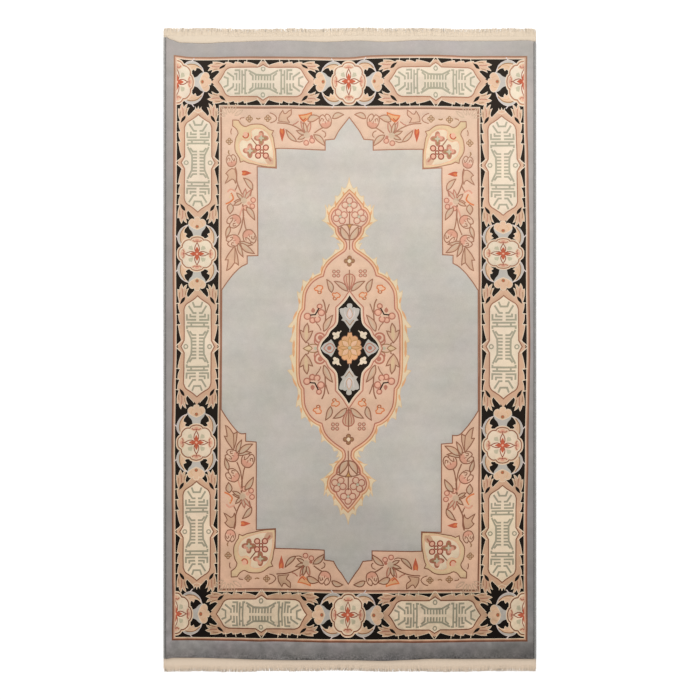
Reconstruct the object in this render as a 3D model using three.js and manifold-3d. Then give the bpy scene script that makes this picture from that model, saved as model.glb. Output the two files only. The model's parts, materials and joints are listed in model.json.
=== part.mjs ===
// A hand-knotted wool rug, laid flat: the knotted pile slab, an overcast cord along each long side,
// and at each end a flat-woven cotton web whose warps run on as a fringe.
// Millimetres, +Z up. The origin is the middle of the underside. +Y runs along the rug.

import * as THREE from "three";
import { mergeVertices } from "three/addons/utils/BufferGeometryUtils.js";
import Module from "manifold-3d";

const wasm = await Module();
wasm.setup();

// Driving dimensions
const RUG_WIDTH = 1520; // over both side cords
const PILE_LENGTH = 2520; // knotted part, without webs and fringe
const PILE_THICK = 13; // foundation and pile together
const CORD_WIDTH = 9; // overcast side cord
const CORD_THICK = 10;
const CORD_SIDES = 10; // of its section
const WEB_WIDTH = 27; // flat-woven end web, from the pile to the fringe's roots
const WEB_THICK = 3.2;
const STRAND_COUNT = 108; // at each end
const STRAND_LENGTH = 31;
const STRAND_WIDTH = 8.4;
const STRAND_THICK = 3.2;
const STRAND_TOP = 0.62; // width of a strand's top face, as a share of its base
const STRAND_STEPS = 4; // along its length
const STRAND_ROOT = 4; // how far a strand is set into its web
const STRAND_EDGE = 7; // first and last strand, from the web's side
const STRAND_UNEVEN = { shortest: 0.86, spread: 0.22, stray: 2.2 }; // shares of the length, and mm at the tip
const CORNER = { reach: 40, lean: 8 }; // strands this near a corner lean in by up to this much
const GAP = 0.3; // between touching pieces

const HALF_WIDTH = RUG_WIDTH / 2;
const HALF_LENGTH = PILE_LENGTH / 2;
const PILE_HALF_WIDTH = HALF_WIDTH - CORD_WIDTH - GAP;

// Rounded rim of the pile: how far the outline is drawn in at each height
const RIM = [
  { height: 0, inset: 1.5 },
  { height: 2.5, inset: 0 },
  { height: 9, inset: 0.4 },
  { height: 11.6, inset: 2 },
  { height: PILE_THICK, inset: 5.5 },
];

// How far the pile reaches past its nominal end, at places across the rug
const FAR_END = [
  { across: -751, out: 20 },
  { across: -733, out: 9 },
  { across: -692, out: -5 },
  { across: -594, out: -8 },
  { across: -496, out: -3 },
  { across: -350, out: 2 },
  { across: -252, out: 4 },
  { across: -105, out: -2 },
  { across: 42, out: 3 },
  { across: 139, out: -2 },
  { across: 286, out: 5 },
  { across: 433, out: 2 },
  { across: 628, out: 2 },
  { across: 726, out: 5 },
  { across: 751, out: 1 },
];
const NEAR_END = [
  { across: -751, out: -2 },
  { across: -720, out: -7 },
  { across: -610, out: -7 },
  { across: -496, out: -4 },
  { across: -398, out: 0 },
  { across: -252, out: 3 },
  { across: -8, out: 3 },
  { across: 139, out: 6 },
  { across: 237, out: 2 },
  { across: 335, out: -3 },
  { across: 482, out: -2 },
  { across: 628, out: -3 },
  { across: 751, out: -2 },
];

// Slow waves along the web's outer edge, and in the lean of the strands
const EDGE_WAVES = [
  { height: 2, length: 880 },
  { height: 1.2, length: 295 },
];
const LEAN_WAVES = [
  { height: 5, length: 565 },
  { height: 3, length: 195 },
];

const wool = new THREE.MeshStandardMaterial({ color: 0xa9a7a5, roughness: 0.95, metalness: 0 });
const edging = new THREE.MeshStandardMaterial({ color: 0x989794, roughness: 0.95, metalness: 0 });
const cotton = new THREE.MeshStandardMaterial({ color: 0xe4d5bc, roughness: 0.9, metalness: 0 });

// The reach of an end at x, eased between the rows of its table
function reach(rows, x) {
  const at = Math.min(Math.max(x, rows[0].across), rows[rows.length - 1].across);
  const next = Math.max(1, rows.findIndex((row) => row.across >= at));
  const [low, high] = [rows[next - 1], rows[next]];
  const share = (at - low.across) / (high.across - low.across);
  return low.out + (high.out - low.out) * share * share * (3 - 2 * share);
}

// The pile's end line, from left to right, drawn in by inset. side is 1 at the far end, -1 at the near one
function endLine(rows, side, inset) {
  const steps = 3; // between two rows of the table
  const line = [];
  for (let row = 1; row < rows.length; row++)
    for (let step = row === 1 ? 0 : 1; step <= steps; step++) {
      const span = rows[row].across - rows[row - 1].across;
      const x = rows[row - 1].across + (span * step) / steps;
      const kept = Math.min(Math.max(x, inset - PILE_HALF_WIDTH), PILE_HALF_WIDTH - inset);
      line.push(new THREE.Vector2(kept, side * (HALF_LENGTH + reach(rows, x) - inset)));
    }
  return line;
}

// The sum of a table's waves at x, shifted by phase
function sway(waves, x, phase) {
  const heightAt = ({ height, length }) => height * Math.sin((2 * Math.PI * x) / length + phase);
  return waves.reduce((sum, wave) => sum + heightAt(wave), 0);
}

// A closed body through a stack of level rings that have the same number of points
function stack(rings) {
  const count = rings[0].points.length;
  const position = rings.flatMap((ring) => ring.points.flatMap((p) => [p.x, p.y, ring.height]));
  const index = [];
  for (let level = 1; level < rings.length; level++)
    for (let i = 0; i < count; i++) {
      const [low, lowNext] = [(level - 1) * count + i, (level - 1) * count + ((i + 1) % count)];
      index.push(low, lowNext, low + count, lowNext, lowNext + count, low + count);
    }
  const top = (rings.length - 1) * count;
  for (const [a, b, c] of THREE.ShapeUtils.triangulateShape(rings[0].points, [])) index.push(a, c, b);
  for (const [a, b, c] of THREE.ShapeUtils.triangulateShape(rings[rings.length - 1].points, []))
    index.push(top + a, top + b, top + c);
  const geometry = new THREE.BufferGeometry();
  geometry.setAttribute("position", new THREE.Float32BufferAttribute(position, 3));
  geometry.setIndex(index);
  return geometry;
}

function pileGeometry() {
  return stack(
    RIM.map(({ height, inset }) => ({
      height,
      points: [...endLine(NEAR_END, -1, inset), ...endLine(FAR_END, 1, inset).reverse()],
    })),
  );
}

// An overcast cord along one long side: a flattened round section, flat below
function cordGeometry(side) {
  const x = side * (HALF_WIDTH - CORD_WIDTH / 2);
  const near = -HALF_LENGTH - reach(NEAR_END, side * HALF_WIDTH);
  const far = HALF_LENGTH + reach(FAR_END, side * HALF_WIDTH);
  const tall = CORD_THICK * 1.1; // before its underside is pressed flat
  const ring = [];
  for (let i = 0; i < CORD_SIDES; i++) {
    const turn = ((i + 0.5) / CORD_SIDES) * 2 * Math.PI - Math.PI / 2;
    const up = (CORD_THICK + tall * Math.sin(turn)) / 2;
    ring.push(new THREE.Vector2((Math.cos(turn) * CORD_WIDTH) / 2, Math.max(0, up)));
  }
  const options = { depth: far - near, bevelEnabled: false };
  return new THREE.ExtrudeGeometry(new THREE.Shape(ring), options).rotateX(Math.PI / 2).translate(x, far, 0);
}

// A number from 0 to 1 that looks random and is the same each time
function scatter(seed) {
  const value = Math.sin(seed * 12.9898 + 4.1414) * 43758.5453;
  return value - Math.floor(value);
}

// The flat-woven web: it follows the pile's end and is nearly straight outside
function webOutline(rows, side) {
  const line = endLine(rows, side, -GAP);
  const [left, right] = [line[0], line[line.length - 1]];
  const inner = [
    new THREE.Vector2(-HALF_WIDTH, left.y),
    ...line,
    new THREE.Vector2(HALF_WIDTH, right.y),
  ];
  const outer = inner.map((p) => new THREE.Vector2(p.x, side * webEdge(p.x, side)));
  return new THREE.Shape([...inner, ...outer.reverse()]);
}

function webEdge(x, side) {
  return HALF_LENGTH + WEB_WIDTH + sway(EDGE_WAVES, x, side);
}

// One strand, lying level on the floor and leaning with its neighbours
function strandGeometry(number, side) {
  const span = RUG_WIDTH - 2 * STRAND_EDGE;
  const x = -HALF_WIDTH + STRAND_EDGE + (span * number) / (STRAND_COUNT - 1);
  const root = webEdge(x, side);
  const { shortest, spread } = STRAND_UNEVEN;
  const length = STRAND_LENGTH * (shortest + spread * scatter(number + 300 * side));
  const stray = STRAND_UNEVEN.stray * (scatter(number * 3 + 50 * side) - 0.5);
  const inward = (Math.max(0, Math.abs(x) - HALF_WIDTH + CORNER.reach) / CORNER.reach) * CORNER.lean;
  const tip = x + sway(LEAN_WAVES, x, 2 * side) + stray - Math.sign(x) * inward;
  const path = new THREE.QuadraticBezierCurve3(
    new THREE.Vector3(x, side * (root - STRAND_ROOT), 0),
    new THREE.Vector3(x, side * (root + length * 0.45), 0),
    new THREE.Vector3(tip, side * (root + length), 0),
  );
  // Across the path, x of the section points down
  const [half, thick] = [STRAND_WIDTH / 2, STRAND_THICK];
  const section = new THREE.Shape([
    new THREE.Vector2(0, -half),
    new THREE.Vector2(0, half),
    new THREE.Vector2(-thick, half * STRAND_TOP),
    new THREE.Vector2(-thick, -half * STRAND_TOP),
  ]);
  return new THREE.ExtrudeGeometry(section, {
    steps: STRAND_STEPS,
    bevelEnabled: false,
    extrudePath: path,
  });
}

function toSolid(geometry) {
  const bare = new THREE.BufferGeometry();
  const loose = geometry.index ? geometry.toNonIndexed() : geometry;
  bare.setAttribute("position", loose.getAttribute("position"));
  const merged = mergeVertices(bare, 1e-3);
  return new wasm.Manifold(
    new wasm.Mesh({
      numProp: 3,
      vertProperties: merged.getAttribute("position").array,
      triVerts: new Uint32Array(merged.index.array),
    }),
  );
}

function toGeometry(solid) {
  const { vertProperties, triVerts } = solid.getMesh();
  const geometry = new THREE.BufferGeometry();
  geometry.setAttribute("position", new THREE.BufferAttribute(vertProperties, 3));
  geometry.setIndex(new THREE.BufferAttribute(triVerts, 1));
  return geometry;
}

// A web with its strands fused in at their roots
function fringeGeometry(rows, side) {
  const web = new THREE.ExtrudeGeometry(webOutline(rows, side), {
    depth: WEB_THICK,
    bevelEnabled: false,
  });
  let solid = toSolid(web);
  for (let number = 0; number < STRAND_COUNT; number++)
    solid = solid.add(toSolid(strandGeometry(number, side)));
  return toGeometry(solid);
}

const rug = new THREE.Group();
const pieces = [
  ["pile", pileGeometry(), wool],
  ["side_cord_left", cordGeometry(-1), edging],
  ["side_cord_right", cordGeometry(1), edging],
  ["fringe_far", fringeGeometry(FAR_END, 1), cotton],
  ["fringe_near", fringeGeometry(NEAR_END, -1), cotton],
];
for (const [name, geometry, material] of pieces) {
  const mesh = new THREE.Mesh(geometry, material);
  mesh.name = name;
  rug.add(mesh);
}

export default rug;
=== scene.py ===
"""A hand-knotted savonnerie rug: carved wool pile, overcast sides, woven cotton ends and a fringe.

The pattern is charted as flat outlines in millimetres, mirrored from quarter to quarter, and painted one
over another. The top of the pile is one triangle mesh that follows every outline, and each triangle has the
dye of its knots. A point in the plane of the rug is a complex number: x runs across the rug and y along it.
"""

import cmath
import json
import logging
import math
import random
from collections.abc import Callable
from dataclasses import dataclass, field
from enum import Enum
from functools import lru_cache

import bpy
import numpy as np
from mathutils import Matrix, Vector, geometry, noise

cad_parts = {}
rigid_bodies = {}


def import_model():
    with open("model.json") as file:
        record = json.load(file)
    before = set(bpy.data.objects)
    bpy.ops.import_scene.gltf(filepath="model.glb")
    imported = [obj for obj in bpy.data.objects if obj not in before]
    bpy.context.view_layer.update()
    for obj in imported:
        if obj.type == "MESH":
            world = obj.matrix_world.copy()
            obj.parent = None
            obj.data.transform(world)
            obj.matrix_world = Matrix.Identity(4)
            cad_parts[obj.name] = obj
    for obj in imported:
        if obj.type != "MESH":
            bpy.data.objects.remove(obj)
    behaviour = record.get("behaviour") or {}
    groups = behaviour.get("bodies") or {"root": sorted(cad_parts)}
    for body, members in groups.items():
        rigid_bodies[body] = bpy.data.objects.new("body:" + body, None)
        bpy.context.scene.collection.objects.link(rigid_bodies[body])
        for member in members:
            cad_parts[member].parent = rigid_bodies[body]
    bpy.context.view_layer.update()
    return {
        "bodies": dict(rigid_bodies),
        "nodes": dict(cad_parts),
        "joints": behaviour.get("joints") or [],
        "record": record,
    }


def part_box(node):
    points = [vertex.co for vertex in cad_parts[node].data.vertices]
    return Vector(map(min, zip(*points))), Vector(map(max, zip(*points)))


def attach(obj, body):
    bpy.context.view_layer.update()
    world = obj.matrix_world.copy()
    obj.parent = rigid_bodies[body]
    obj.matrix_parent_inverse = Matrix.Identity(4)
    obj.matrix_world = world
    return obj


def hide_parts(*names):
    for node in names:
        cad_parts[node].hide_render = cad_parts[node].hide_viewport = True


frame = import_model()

log = logging.getLogger("rug")

Path = list[complex]
Table = tuple[float, ...]  # x and y of points, one after another, mm
Move = Callable[[complex], complex]
Triple = tuple[float, float, float]  # a place, or the red, green and blue of linear light
Pair = tuple[float, float]  # a place on a flat map, or two numbers that belong together
Rows = tuple[tuple[float, ...], ...]  # a small table

MM = 0.001
STEP = 9.0  # longest stretch of a curve that is drawn straight, mm
LINE = 4.4  # width of a knotted outline, mm
GROOVE = 1.9  # how deep an outline is carved into the pile, mm
LENGTH = 2520  # of the pile, mm
SEED = 11
QUARTERS = ((1, 1), (1, -1), (-1, 1), (-1, -1))  # signs of x and y in each quarter of the rug


class Dye(Enum):
    """The dyed yarns, as sRGB hexadecimal colours."""

    BAND = "aba49f"
    FIELD = "cfc8be"
    RUST = "a37b64"
    BROWN = "b8876e"
    TAN = "b08a66"
    PEACH = "e3c0a2"
    GUARD = "d3ac95"
    NIGHT = "2f2822"
    CREAM = "eadac4"
    IVORY = "ebd6b9"
    FRET = "b3ad97"
    BLUSH = "e0bb9f"
    PINK = "dab498"
    MIST = "c9c2b8"
    GROUND = "e6c5ac"
    GOLD = "e3c59e"
    FLAME = "d0986f"
    APRICOT = "edbf9e"
    RED = "c5654a"
    ROSE = "c88a76"
    MAUVE = "a4604e"
    SALMON = "ebb69c"
    BLOOM = "dea58d"
    SAND = "d8bda3"
    OCHRE = "c89c62"
    BUFF = "dcb68e"
    SAGE = "c5bea4"
    EMBER = "dc8152"
    FLAX = "dcc09c"
    PALE = "dccfca"
    AMBER = "e4af82"
    HALO = "e8d4b2"
    BACK = "b3a896"
    EDGING = "a8a5a1"
    COTTON = "e7d6c0"
    SOILED = "d5c2ad"


def clamped(value: float) -> float:
    """Return a value held between 0 and 1."""
    return min(1.0, max(0.0, value))


def at(x: float, y: float) -> complex:
    """Return the point x across and y along the rug."""
    return complex(x, y)


def run(*numbers: float) -> Path:
    """Return the points whose x and y follow one another in the numbers."""
    return [at(x, y) for x, y in zip(numbers[::2], numbers[1::2])]


def bent(before: complex, start: complex, end: complex, after: complex, step: float) -> Path:
    """Draw one stretch of a curve that passes through its control points.

    Args:
        before: control point ahead of the stretch.
        start: where the stretch starts, left out of the result.
        end: where it ends.
        after: control point past the stretch.
        step: longest straight piece, mm.

    Returns:
        The points after start, up to end.
    """
    steps = max(1, math.ceil(abs(end - start) / step))
    path = []
    for i in range(1, steps + 1):
        t = i / steps
        pull = -t * (1 - t) ** 2 / 2 * (before - end) + t * t * (1 - t) / 2 * (start - after)
        blend = t * t * (3 - 2 * t)
        path.append(start * (1 - blend) + end * blend + pull)
    return path


def joined(*runs: Path) -> Path:
    """Draw a smooth curve through each run of points, with a corner where one run meets the next."""
    path = [runs[0][0]]
    for points in runs:
        controls = [2 * points[0] - points[1], *points, 2 * points[-1] - points[-2]]
        longest = STEP if len(points) > 2 else 2.5 * STEP
        for four in zip(controls, controls[1:], controls[2:], controls[3:]):
            path += bent(*four, longest)
    return path


def smooth(*tables: Table) -> Path:
    """Draw a smooth curve through tables of points, with a corner where one ends and the next goes on."""
    runs = [run(*tables[0])]
    for table in tables[1:]:
        runs.append([runs[-1][-1], *run(*table)])
    return joined(*runs)


def rounded(*tables: Table) -> Path:
    """Draw a closed outline like smooth, whose last point is its first one again and is left out."""
    return smooth(*tables)[:-1]


def upend(path: Path) -> Path:
    """Mirror a path end to end, and reverse it."""
    return [point.conjugate() for point in reversed(path)]


def both(half: Path) -> Path:
    """Close a half outline, from axis to axis, with its mirror image."""
    return half + [-point.conjugate() for point in half[-2:0:-1]]


def paired(*tables: Table) -> Path:
    """Draw a closed outline like smooth, from its right half."""
    return both(smooth(*tables))


def ringed(*tables: Table) -> Path:
    """Draw a closed outline like smooth, from its quarter between the y axis and the x axis."""
    quarter = smooth(*tables)
    return both(quarter + upend(quarter)[1:])


def polar(radius: Callable[[float], float], sides: int) -> Path:
    """Draw a closed outline from its radius at each angle.

    Args:
        radius: gives the radius at an angle in radians, mm.
        sides: how many points the outline has.

    Returns:
        The outline.
    """
    turns = [math.tau * i / sides for i in range(sides)]
    return [cmath.rect(radius(turn), turn) for turn in turns]


def circle(radius: float, centre: complex = 0) -> Path:
    """Draw a circle with a point about every 6 mm, and 8 at least."""
    sides = max(8, round(math.tau * radius / 6))
    return [centre + point for point in polar(lambda turn: radius, sides)]


def leaf(length: float, width: float, bow: float = 0.0) -> Path:
    """Draw a pointed leaf that grows up the y axis from the origin.

    Args:
        length: base to tip, mm.
        width: at its widest, mm.
        bow: how far its middle bows out to the right, mm.

    Returns:
        The closed outline.
    """
    sides = []
    for half in (width / 2, -width / 2):
        shares = (0, 0.14, 0.34, 0.6, 0.84, 1)
        outs = [half * math.sin(math.pi * share**0.8) + bow * 4 * share * (1 - share) for share in shares]
        sides.append([at(out, length * share) for out, share in zip(outs, shares)])
    return joined(sides[0], sides[1][::-1])[:-1]


def lens(start: complex, end: complex, width: float) -> Path:
    """Draw a lens-shaped outline between two points."""
    along = (end - start) / abs(end - start)
    return [start + point * -1j * along for point in leaf(abs(end - start), width)]


def ribbon(path: Path, width: float, closed: bool) -> list[Path]:
    """Widen a centre line to a band of even width.

    Args:
        path: the centre line.
        width: of the band, mm.
        closed: whether the line runs back to its start.

    Returns:
        The loops that bound the band: one for an open line and two for a closed one.
    """
    sharpest = 0.6  # cosine past which the band's corners are blunted
    count = len(path)
    left, right = [], []
    for i, point in enumerate(path):
        before = path[i - 1] if closed or i else point
        after = path[(i + 1) % count] if closed or i < count - 1 else point
        ahead = (after - point) / (abs(after - point) or 1)
        behind = (point - before) / (abs(point - before) or 1)
        along = (ahead + behind) / (abs(ahead + behind) or 1)
        mitre = max(sharpest, abs((along.conjugate() * (ahead or behind)).real))
        out = 1j * along * width / 2 / mitre
        left.append(point + out)
        right.append(point - out)
    return [left, right[::-1]] if closed else [left + right[::-1]]


@dataclass
class Patch:
    """One area of a single dye, bounded by loops, and the line down its middle where it is carved."""

    loops: list[Path]
    dye: Dye
    groove: Path = field(default_factory=list)


class Chart:
    """Patches of dye, painted one over another."""

    def __init__(self) -> None:
        """Start an empty chart."""
        self.patches: list[Patch] = []

    def fill(self, path: Path, dye: Dye) -> None:
        """Paint the inside of a closed outline."""
        self.patches.append(Patch([path], dye))

    def stripe(self, path: Path | Table, dye: Dye, width: float, closed: bool = False) -> None:
        """Paint a line of even width.

        Args:
            path: its centre line, or a table of points to draw it through.
            dye: of the line.
            width: of the line, mm.
            closed: whether it runs back to its start.
        """
        path = smooth(path) if isinstance(path, tuple) else path
        self.patches.append(Patch(ribbon(path, width, closed), dye))

    def line(self, path: Path | Table, dye: Dye, width: float = LINE, closed: bool = False) -> None:
        """Paint a stripe along which the pile is cut lower. The arguments are those of stripe."""
        path = smooth(path) if isinstance(path, tuple) else path
        self.stripe(path, dye, width, closed)
        self.patches[-1].groove = path + path[:1] if closed else path

    def shape(self, path: Path, inside: Dye, edge: Dye, width: float = LINE) -> None:
        """Paint an outlined shape.

        Args:
            path: its closed outline.
            inside: dye of the inside.
            edge: dye of the outline.
            width: of the outline, mm.
        """
        self.fill(path, inside)
        self.line(path, edge, width, closed=True)

    def inlay(self, path: Path, inside: Dye, edge: Dye, width: float) -> None:
        """Paint a shape whose outline isn't carved. The arguments are those of shape."""
        self.fill(path, inside)
        self.stripe(path, edge, width, closed=True)

    def blade(
        self, base: complex, tip: complex, width: float, bow: float = 0.0, edge: Dye = Dye.BROWN
    ) -> None:
        """Paint an outlined leaf, folded along its middle.

        Args:
            base: where it grows.
            tip: its point.
            width: at its widest, mm.
            bow: how far its middle bows out to the right of the way to the tip, mm.
            edge: dye of its outline.
        """
        length = abs(tip - base)
        spin = (tip - base) / length / 1j
        outline = [base + spin * point for point in leaf(length, width, bow)]
        fold = [base + spin * point for point in leaf(length * 0.92, width * 0.42, bow - width * 0.17)]
        self.fill(outline, Dye.BLUSH)
        self.fill(fold, Dye.SAND)
        self.line(outline, edge, closed=True)

    def add(self, motif: "Chart", move: Move) -> None:
        """Paint a copy of another chart, each point of it moved.

        Args:
            motif: the chart to copy.
            move: gives a point's new place.
        """
        for patch in motif.patches:
            loops = [[move(point) for point in path] for path in patch.loops]
            self.patches.append(Patch(loops, patch.dye, [move(point) for point in patch.groove]))

    def place(self, motif: "Chart", spot: complex = 0, turn: float = 0.0, size: float = 1.0) -> None:
        """Paint a copy of a motif at a spot.

        Args:
            motif: the chart to copy, about its own origin.
            spot: where its origin goes.
            turn: anticlockwise, degrees.
            size: how many times larger it is.
        """
        spin = cmath.rect(1, math.radians(turn))
        self.add(motif, lambda point: spot + spin * size * point)

    def sided(self, motif: "Chart") -> None:
        """Paint a motif and its mirror image across the y axis."""
        for way in (1, -1):
            self.add(motif, lambda point, way=way: at(way * point.real, point.imag))

    def ended(self, motif: "Chart") -> None:
        """Paint a motif and its mirror image across the x axis."""
        for way in (1, -1):
            self.add(motif, lambda point, way=way: at(point.real, way * point.imag))

    def quartered(self, motif: "Chart") -> None:
        """Paint a motif in all four quarters."""
        for a, b in QUARTERS:
            self.add(motif, lambda point, a=a, b=b: at(a * point.real, b * point.imag))


def blossom(petals: int, reach: float, size: float, inside: Dye, edge: Dye, heart: Dye) -> Chart:
    """Draw a flower of round petals.

    Args:
        petals: how many there are.
        reach: from the middle to the middle of a petal, mm.
        size: radius of a petal, mm.
        inside: dye of the petals.
        edge: dye of their outlines.
        heart: dye of the middle.

    Returns:
        The flower, with its first petal up the y axis.
    """
    flower = Chart()
    for i in range(petals):
        turn = math.tau * i / petals + math.pi / 2
        flower.shape(circle(size, cmath.rect(reach, turn)), inside, edge, 3.6)
    flower.fill(circle(size * 0.5), heart)
    return flower


def bud(length: float, width: float) -> Chart:
    """Draw a closed red bud that points down the y axis."""
    flower = Chart()
    body = rounded(
        (0, -length / 2, width / 2, length / 6, width * 0.4, length / 2),
        (0, length * 0.42, -width * 0.4, length / 2),
        (-width / 2, length / 6, 0, -length / 2),
    )
    flower.fill(body, Dye.RED)
    root, tip = at(-width * 0.2, length * 0.46), at(width * 0.12, length * 0.05)
    flower.fill(lens(root, tip, width * 0.5), Dye.EMBER)
    return flower


def pod() -> Chart:
    """Draw a half-open flower with rolled petals that opens up the y axis, about 44 mm across."""
    flower = Chart()
    body = rounded(
        (0, -25, -15, -20, -22, -2, -20, 15, -12, 24), (-3, 26, 2, 18),
        (10, 26, 20, 18, 23, 0, 15, -19, 0, -25),
    )
    cup = smooth((-20, -8, -12, -2, 0, -6, 10, 0, 20, -6), (13, -20, 0, -25, -14, -19, -20, -8))
    flower.fill(body, Dye.GROUND)
    flower.fill(cup, Dye.BLOOM)
    flower.line(body, Dye.BROWN, 3.9, closed=True)
    flower.line((-18, 4, -12, 14, -5, 8, -9, 2), Dye.BROWN, 3.4)
    flower.line((3, 16, 6, 4, 13, -2, 16, 8), Dye.BROWN, 3.4)
    flower.line(run(-1, -8, -1, 2), Dye.ROSE, 3.4)
    return flower


@dataclass
class Border:
    """The night-coloured border between its two guards: cartouches and rosettes with acanthus leaves."""

    outer: complex = 719 + 1191j  # corner of the outer guard's line, mm
    inner: complex = 526 + 981j  # corner of the inner guard's line
    edge: complex = 709 + 1182j  # outer corner of the night ground
    hem: complex = 534 + 991j  # its inner corner
    middle: complex = 621 + 1084j  # middle lines of the four bands
    cartouches: Rows = (
        (-1, 754, 0.995), (-1, 5, 1.03), (-1, -746, 1.0), (1, 752, 1.015), (1, 7, 1.05), (1, -753, 0.98),
    )  # of the side bands: side, place along the rug and stretch
    rosettes: Rows = (
        (-1, 384, 0.96, 0), (-1, -389, 1.0, -4), (1, 391, 0.86, 17), (1, -391, 1.02, -4),
    )  # side, place, stretch of the head, and how much nearer its upper bud is, mm
    across: float = 351.0  # middle of a cartouche of the end bands
    band: complex = 0.935 + 1.14j  # stretch of the end bands' motifs along and across
    wide: float = 1.08  # stretch of their cartouches across

    @staticmethod
    def frame(corner: complex) -> Path:
        """Return the rectangle with its centre in the middle of the rug."""
        x, y = corner.real, corner.imag
        corners = run(x, y, -x, y, -x, -y, x, -y)
        path = []
        for start, end in zip(corners, corners[1:] + corners[:1]):
            steps = round(abs(end - start) / 24)
            path += [start + (end - start) * i / steps for i in range(steps)]
        return path

    def guards(self, chart: Chart) -> None:
        """Paint the guards and the grounds between them."""
        outer, edge, hem, inner = map(self.frame, (self.outer, self.edge, self.hem, self.inner))
        chart.shape(outer, Dye.GUARD, Dye.RUST, 6.4)
        chart.fill(edge, Dye.NIGHT)
        chart.fill(hem, Dye.GUARD)
        for guard in (edge, hem):
            chart.stripe(guard, Dye.CREAM, 2.4, closed=True)
        chart.fill(self.frame(self.inner - at(2, 2)), Dye.GROUND)
        chart.line(inner, Dye.RUST, 5.6, closed=True)

    @staticmethod
    def fret() -> Chart:
        """Draw a quarter of the geometric fret inside a cartouche."""
        strokes = (
            (0, 158, 13, 158, 20, 177), (5, 133, 18, 133, 36, 162), (6, 119, 30, 119, 30, 130),
            (6, 106, 44, 106, 44, 128), (0, 94, 44, 94), (0, 80, 44, 80, 44, 70), (26, 94, 26, 80),
            (43, 66, 26, 30, 25, 0), (33, 61, 22, 46, 5, 46), (5, 33, 25, 33), (5, 20, 25, 20),
            (5, 7, 25, 7),
        )
        quarter = Chart()
        for stroke in strokes:
            quarter.stripe(run(*stroke), Dye.FRET, 7.4)
        return quarter

    @staticmethod
    def cartouche_frame() -> Path:
        """Return the pink frame's outline, with a leaf at each corner and leaf tips along the sides."""
        return ringed(
            (0, 238, 6, 238), (8, 230, 15, 220, 27, 207, 39, 194), (45, 203, 43, 216, 36, 231),
            (44, 227, 50, 222), (47, 233, 43, 246), (53, 239, 59, 229), (61, 238, 65, 248),
            (71, 236, 73, 224), (77, 225, 81, 226), (80, 200, 73, 174), (79, 169), (77, 150, 71, 131),
            (79, 126), (77, 106, 70, 88), (80, 83), (74, 52, 66, 24), (80, 10), (78, 0),
        )

    def cartouche(self, ticks: Table) -> Chart:
        """Draw a cartouche in its pink frame, along the y axis.

        Args:
            ticks: how far from the middle the pale lines cross the night ground beside it, mm.

        Returns:
            The cartouche.
        """
        motif = Chart()
        frame = self.cartouche_frame()
        motif.inlay(frame, Dye.BLUSH, Dye.CREAM, 2.0)
        outline = ringed(
            (0, 201, 14, 189, 24, 182, 33, 176), (43, 170, 51, 160, 55.4, 146), (55.4, 24.5), (69, 0),
        )
        motif.stripe(outline, Dye.PINK, 24, closed=True)
        motif.shape(outline, Dye.CREAM, Dye.BROWN)
        corner = Chart()
        corner.fill(lens(at(51, 197), at(71, 167), 12), Dye.NIGHT)
        for tick in ticks:
            corner.stripe(run(73, tick, 90, tick - 3), Dye.CREAM, 2.8)
        corner.stripe(run(62, 26, 90, 2), Dye.CREAM, 3.4)
        veins = (50, 205, 49, 214, 46, 228), (62, 196, 61, 210, 63, 230), (74, 192, 74, 204, 72, 214)
        for vein, dye in zip(veins, (Dye.TAN, Dye.ROSE, Dye.TAN)):
            corner.line(vein, dye, 2.6)
        corner.fill(lens(at(4, 238), at(11, 220), 7), Dye.NIGHT)
        motif.quartered(corner)
        motif.quartered(self.fret())
        for end in (-1, 1):
            motif.stripe(circle(8, end * 49), Dye.FRET, 5, closed=True)
        return motif

    @staticmethod
    def crown() -> Chart:
        """Draw the spiked crown at an end of a cartouche that has no bud, up the y axis from its tip."""
        motif = Chart()
        motif.fill(run(-15, 22, 15, 22, 15, 60, -15, 60), Dye.NIGHT)
        spikes = paired((0, 34, 2, 27, 5, 21), (9, 25, 12, 32), (12, 23, 16, 14), (0, 8))
        motif.inlay(spikes, Dye.BLUSH, Dye.CREAM, 2.0)
        return motif

    @staticmethod
    def trefoil() -> Chart:
        """Draw the three-lobed bud between a rosette and a cartouche, up the y axis from the rosette."""
        motif = Chart()
        motif.fill(paired((0, 120, 37, 121), (31, 103, 19, 88, 14, 66), (0, 66)), Dye.MIST)
        lobes = paired(
            (0, 151, 8, 149, 12, 143, 10, 136), (17, 142, 27, 140, 34, 131, 34, 121, 27, 112),
            (16, 105, 0, 98),
        )
        motif.inlay(lobes, Dye.PEACH, Dye.CREAM, 2.0)
        for side in (-1, 1):
            motif.stripe((side * 20, 114, side * 21, 122, side * 13, 133), Dye.BUFF, 2.6)
        motif.fill(circle(7.5, 111j), Dye.TAN)
        motif.fill(circle(3.6, 112j), Dye.RED)
        return motif

    @staticmethod
    def acanthus() -> Chart:
        """Draw the acanthus leaf that springs from a rosette's diagonal."""
        motif = Chart()
        back = smooth((64, 31, 73, 43, 78, 56, 79, 70, 74, 86, 65, 101, 51, 112, 33, 119))
        inner = smooth(
            (34, 118, 44, 108, 51, 97, 52, 84), (47, 84, 41, 80), (46, 74, 46, 68), (43, 68, 38, 64),
            (54, 50, 64, 31),
        )
        rib = smooth((34, 118, 54, 106, 64, 90, 68, 72, 67, 54, 62, 38), (64, 31))
        motif.inlay(back + inner[:-1], Dye.PEACH, Dye.CREAM, 1.8)
        motif.stripe(run(77, 64, 89, 76), Dye.PALE, 4)
        motif.inlay(back + rib[:-1], Dye.MIST, Dye.PALE, 2.0)
        motif.line((62, 41, 67, 55, 67, 72, 63, 89, 50, 108), Dye.TAN, 4)
        motif.stripe((54, 62, 59, 74, 57, 90), Dye.BUFF, 3)
        return motif

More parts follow.
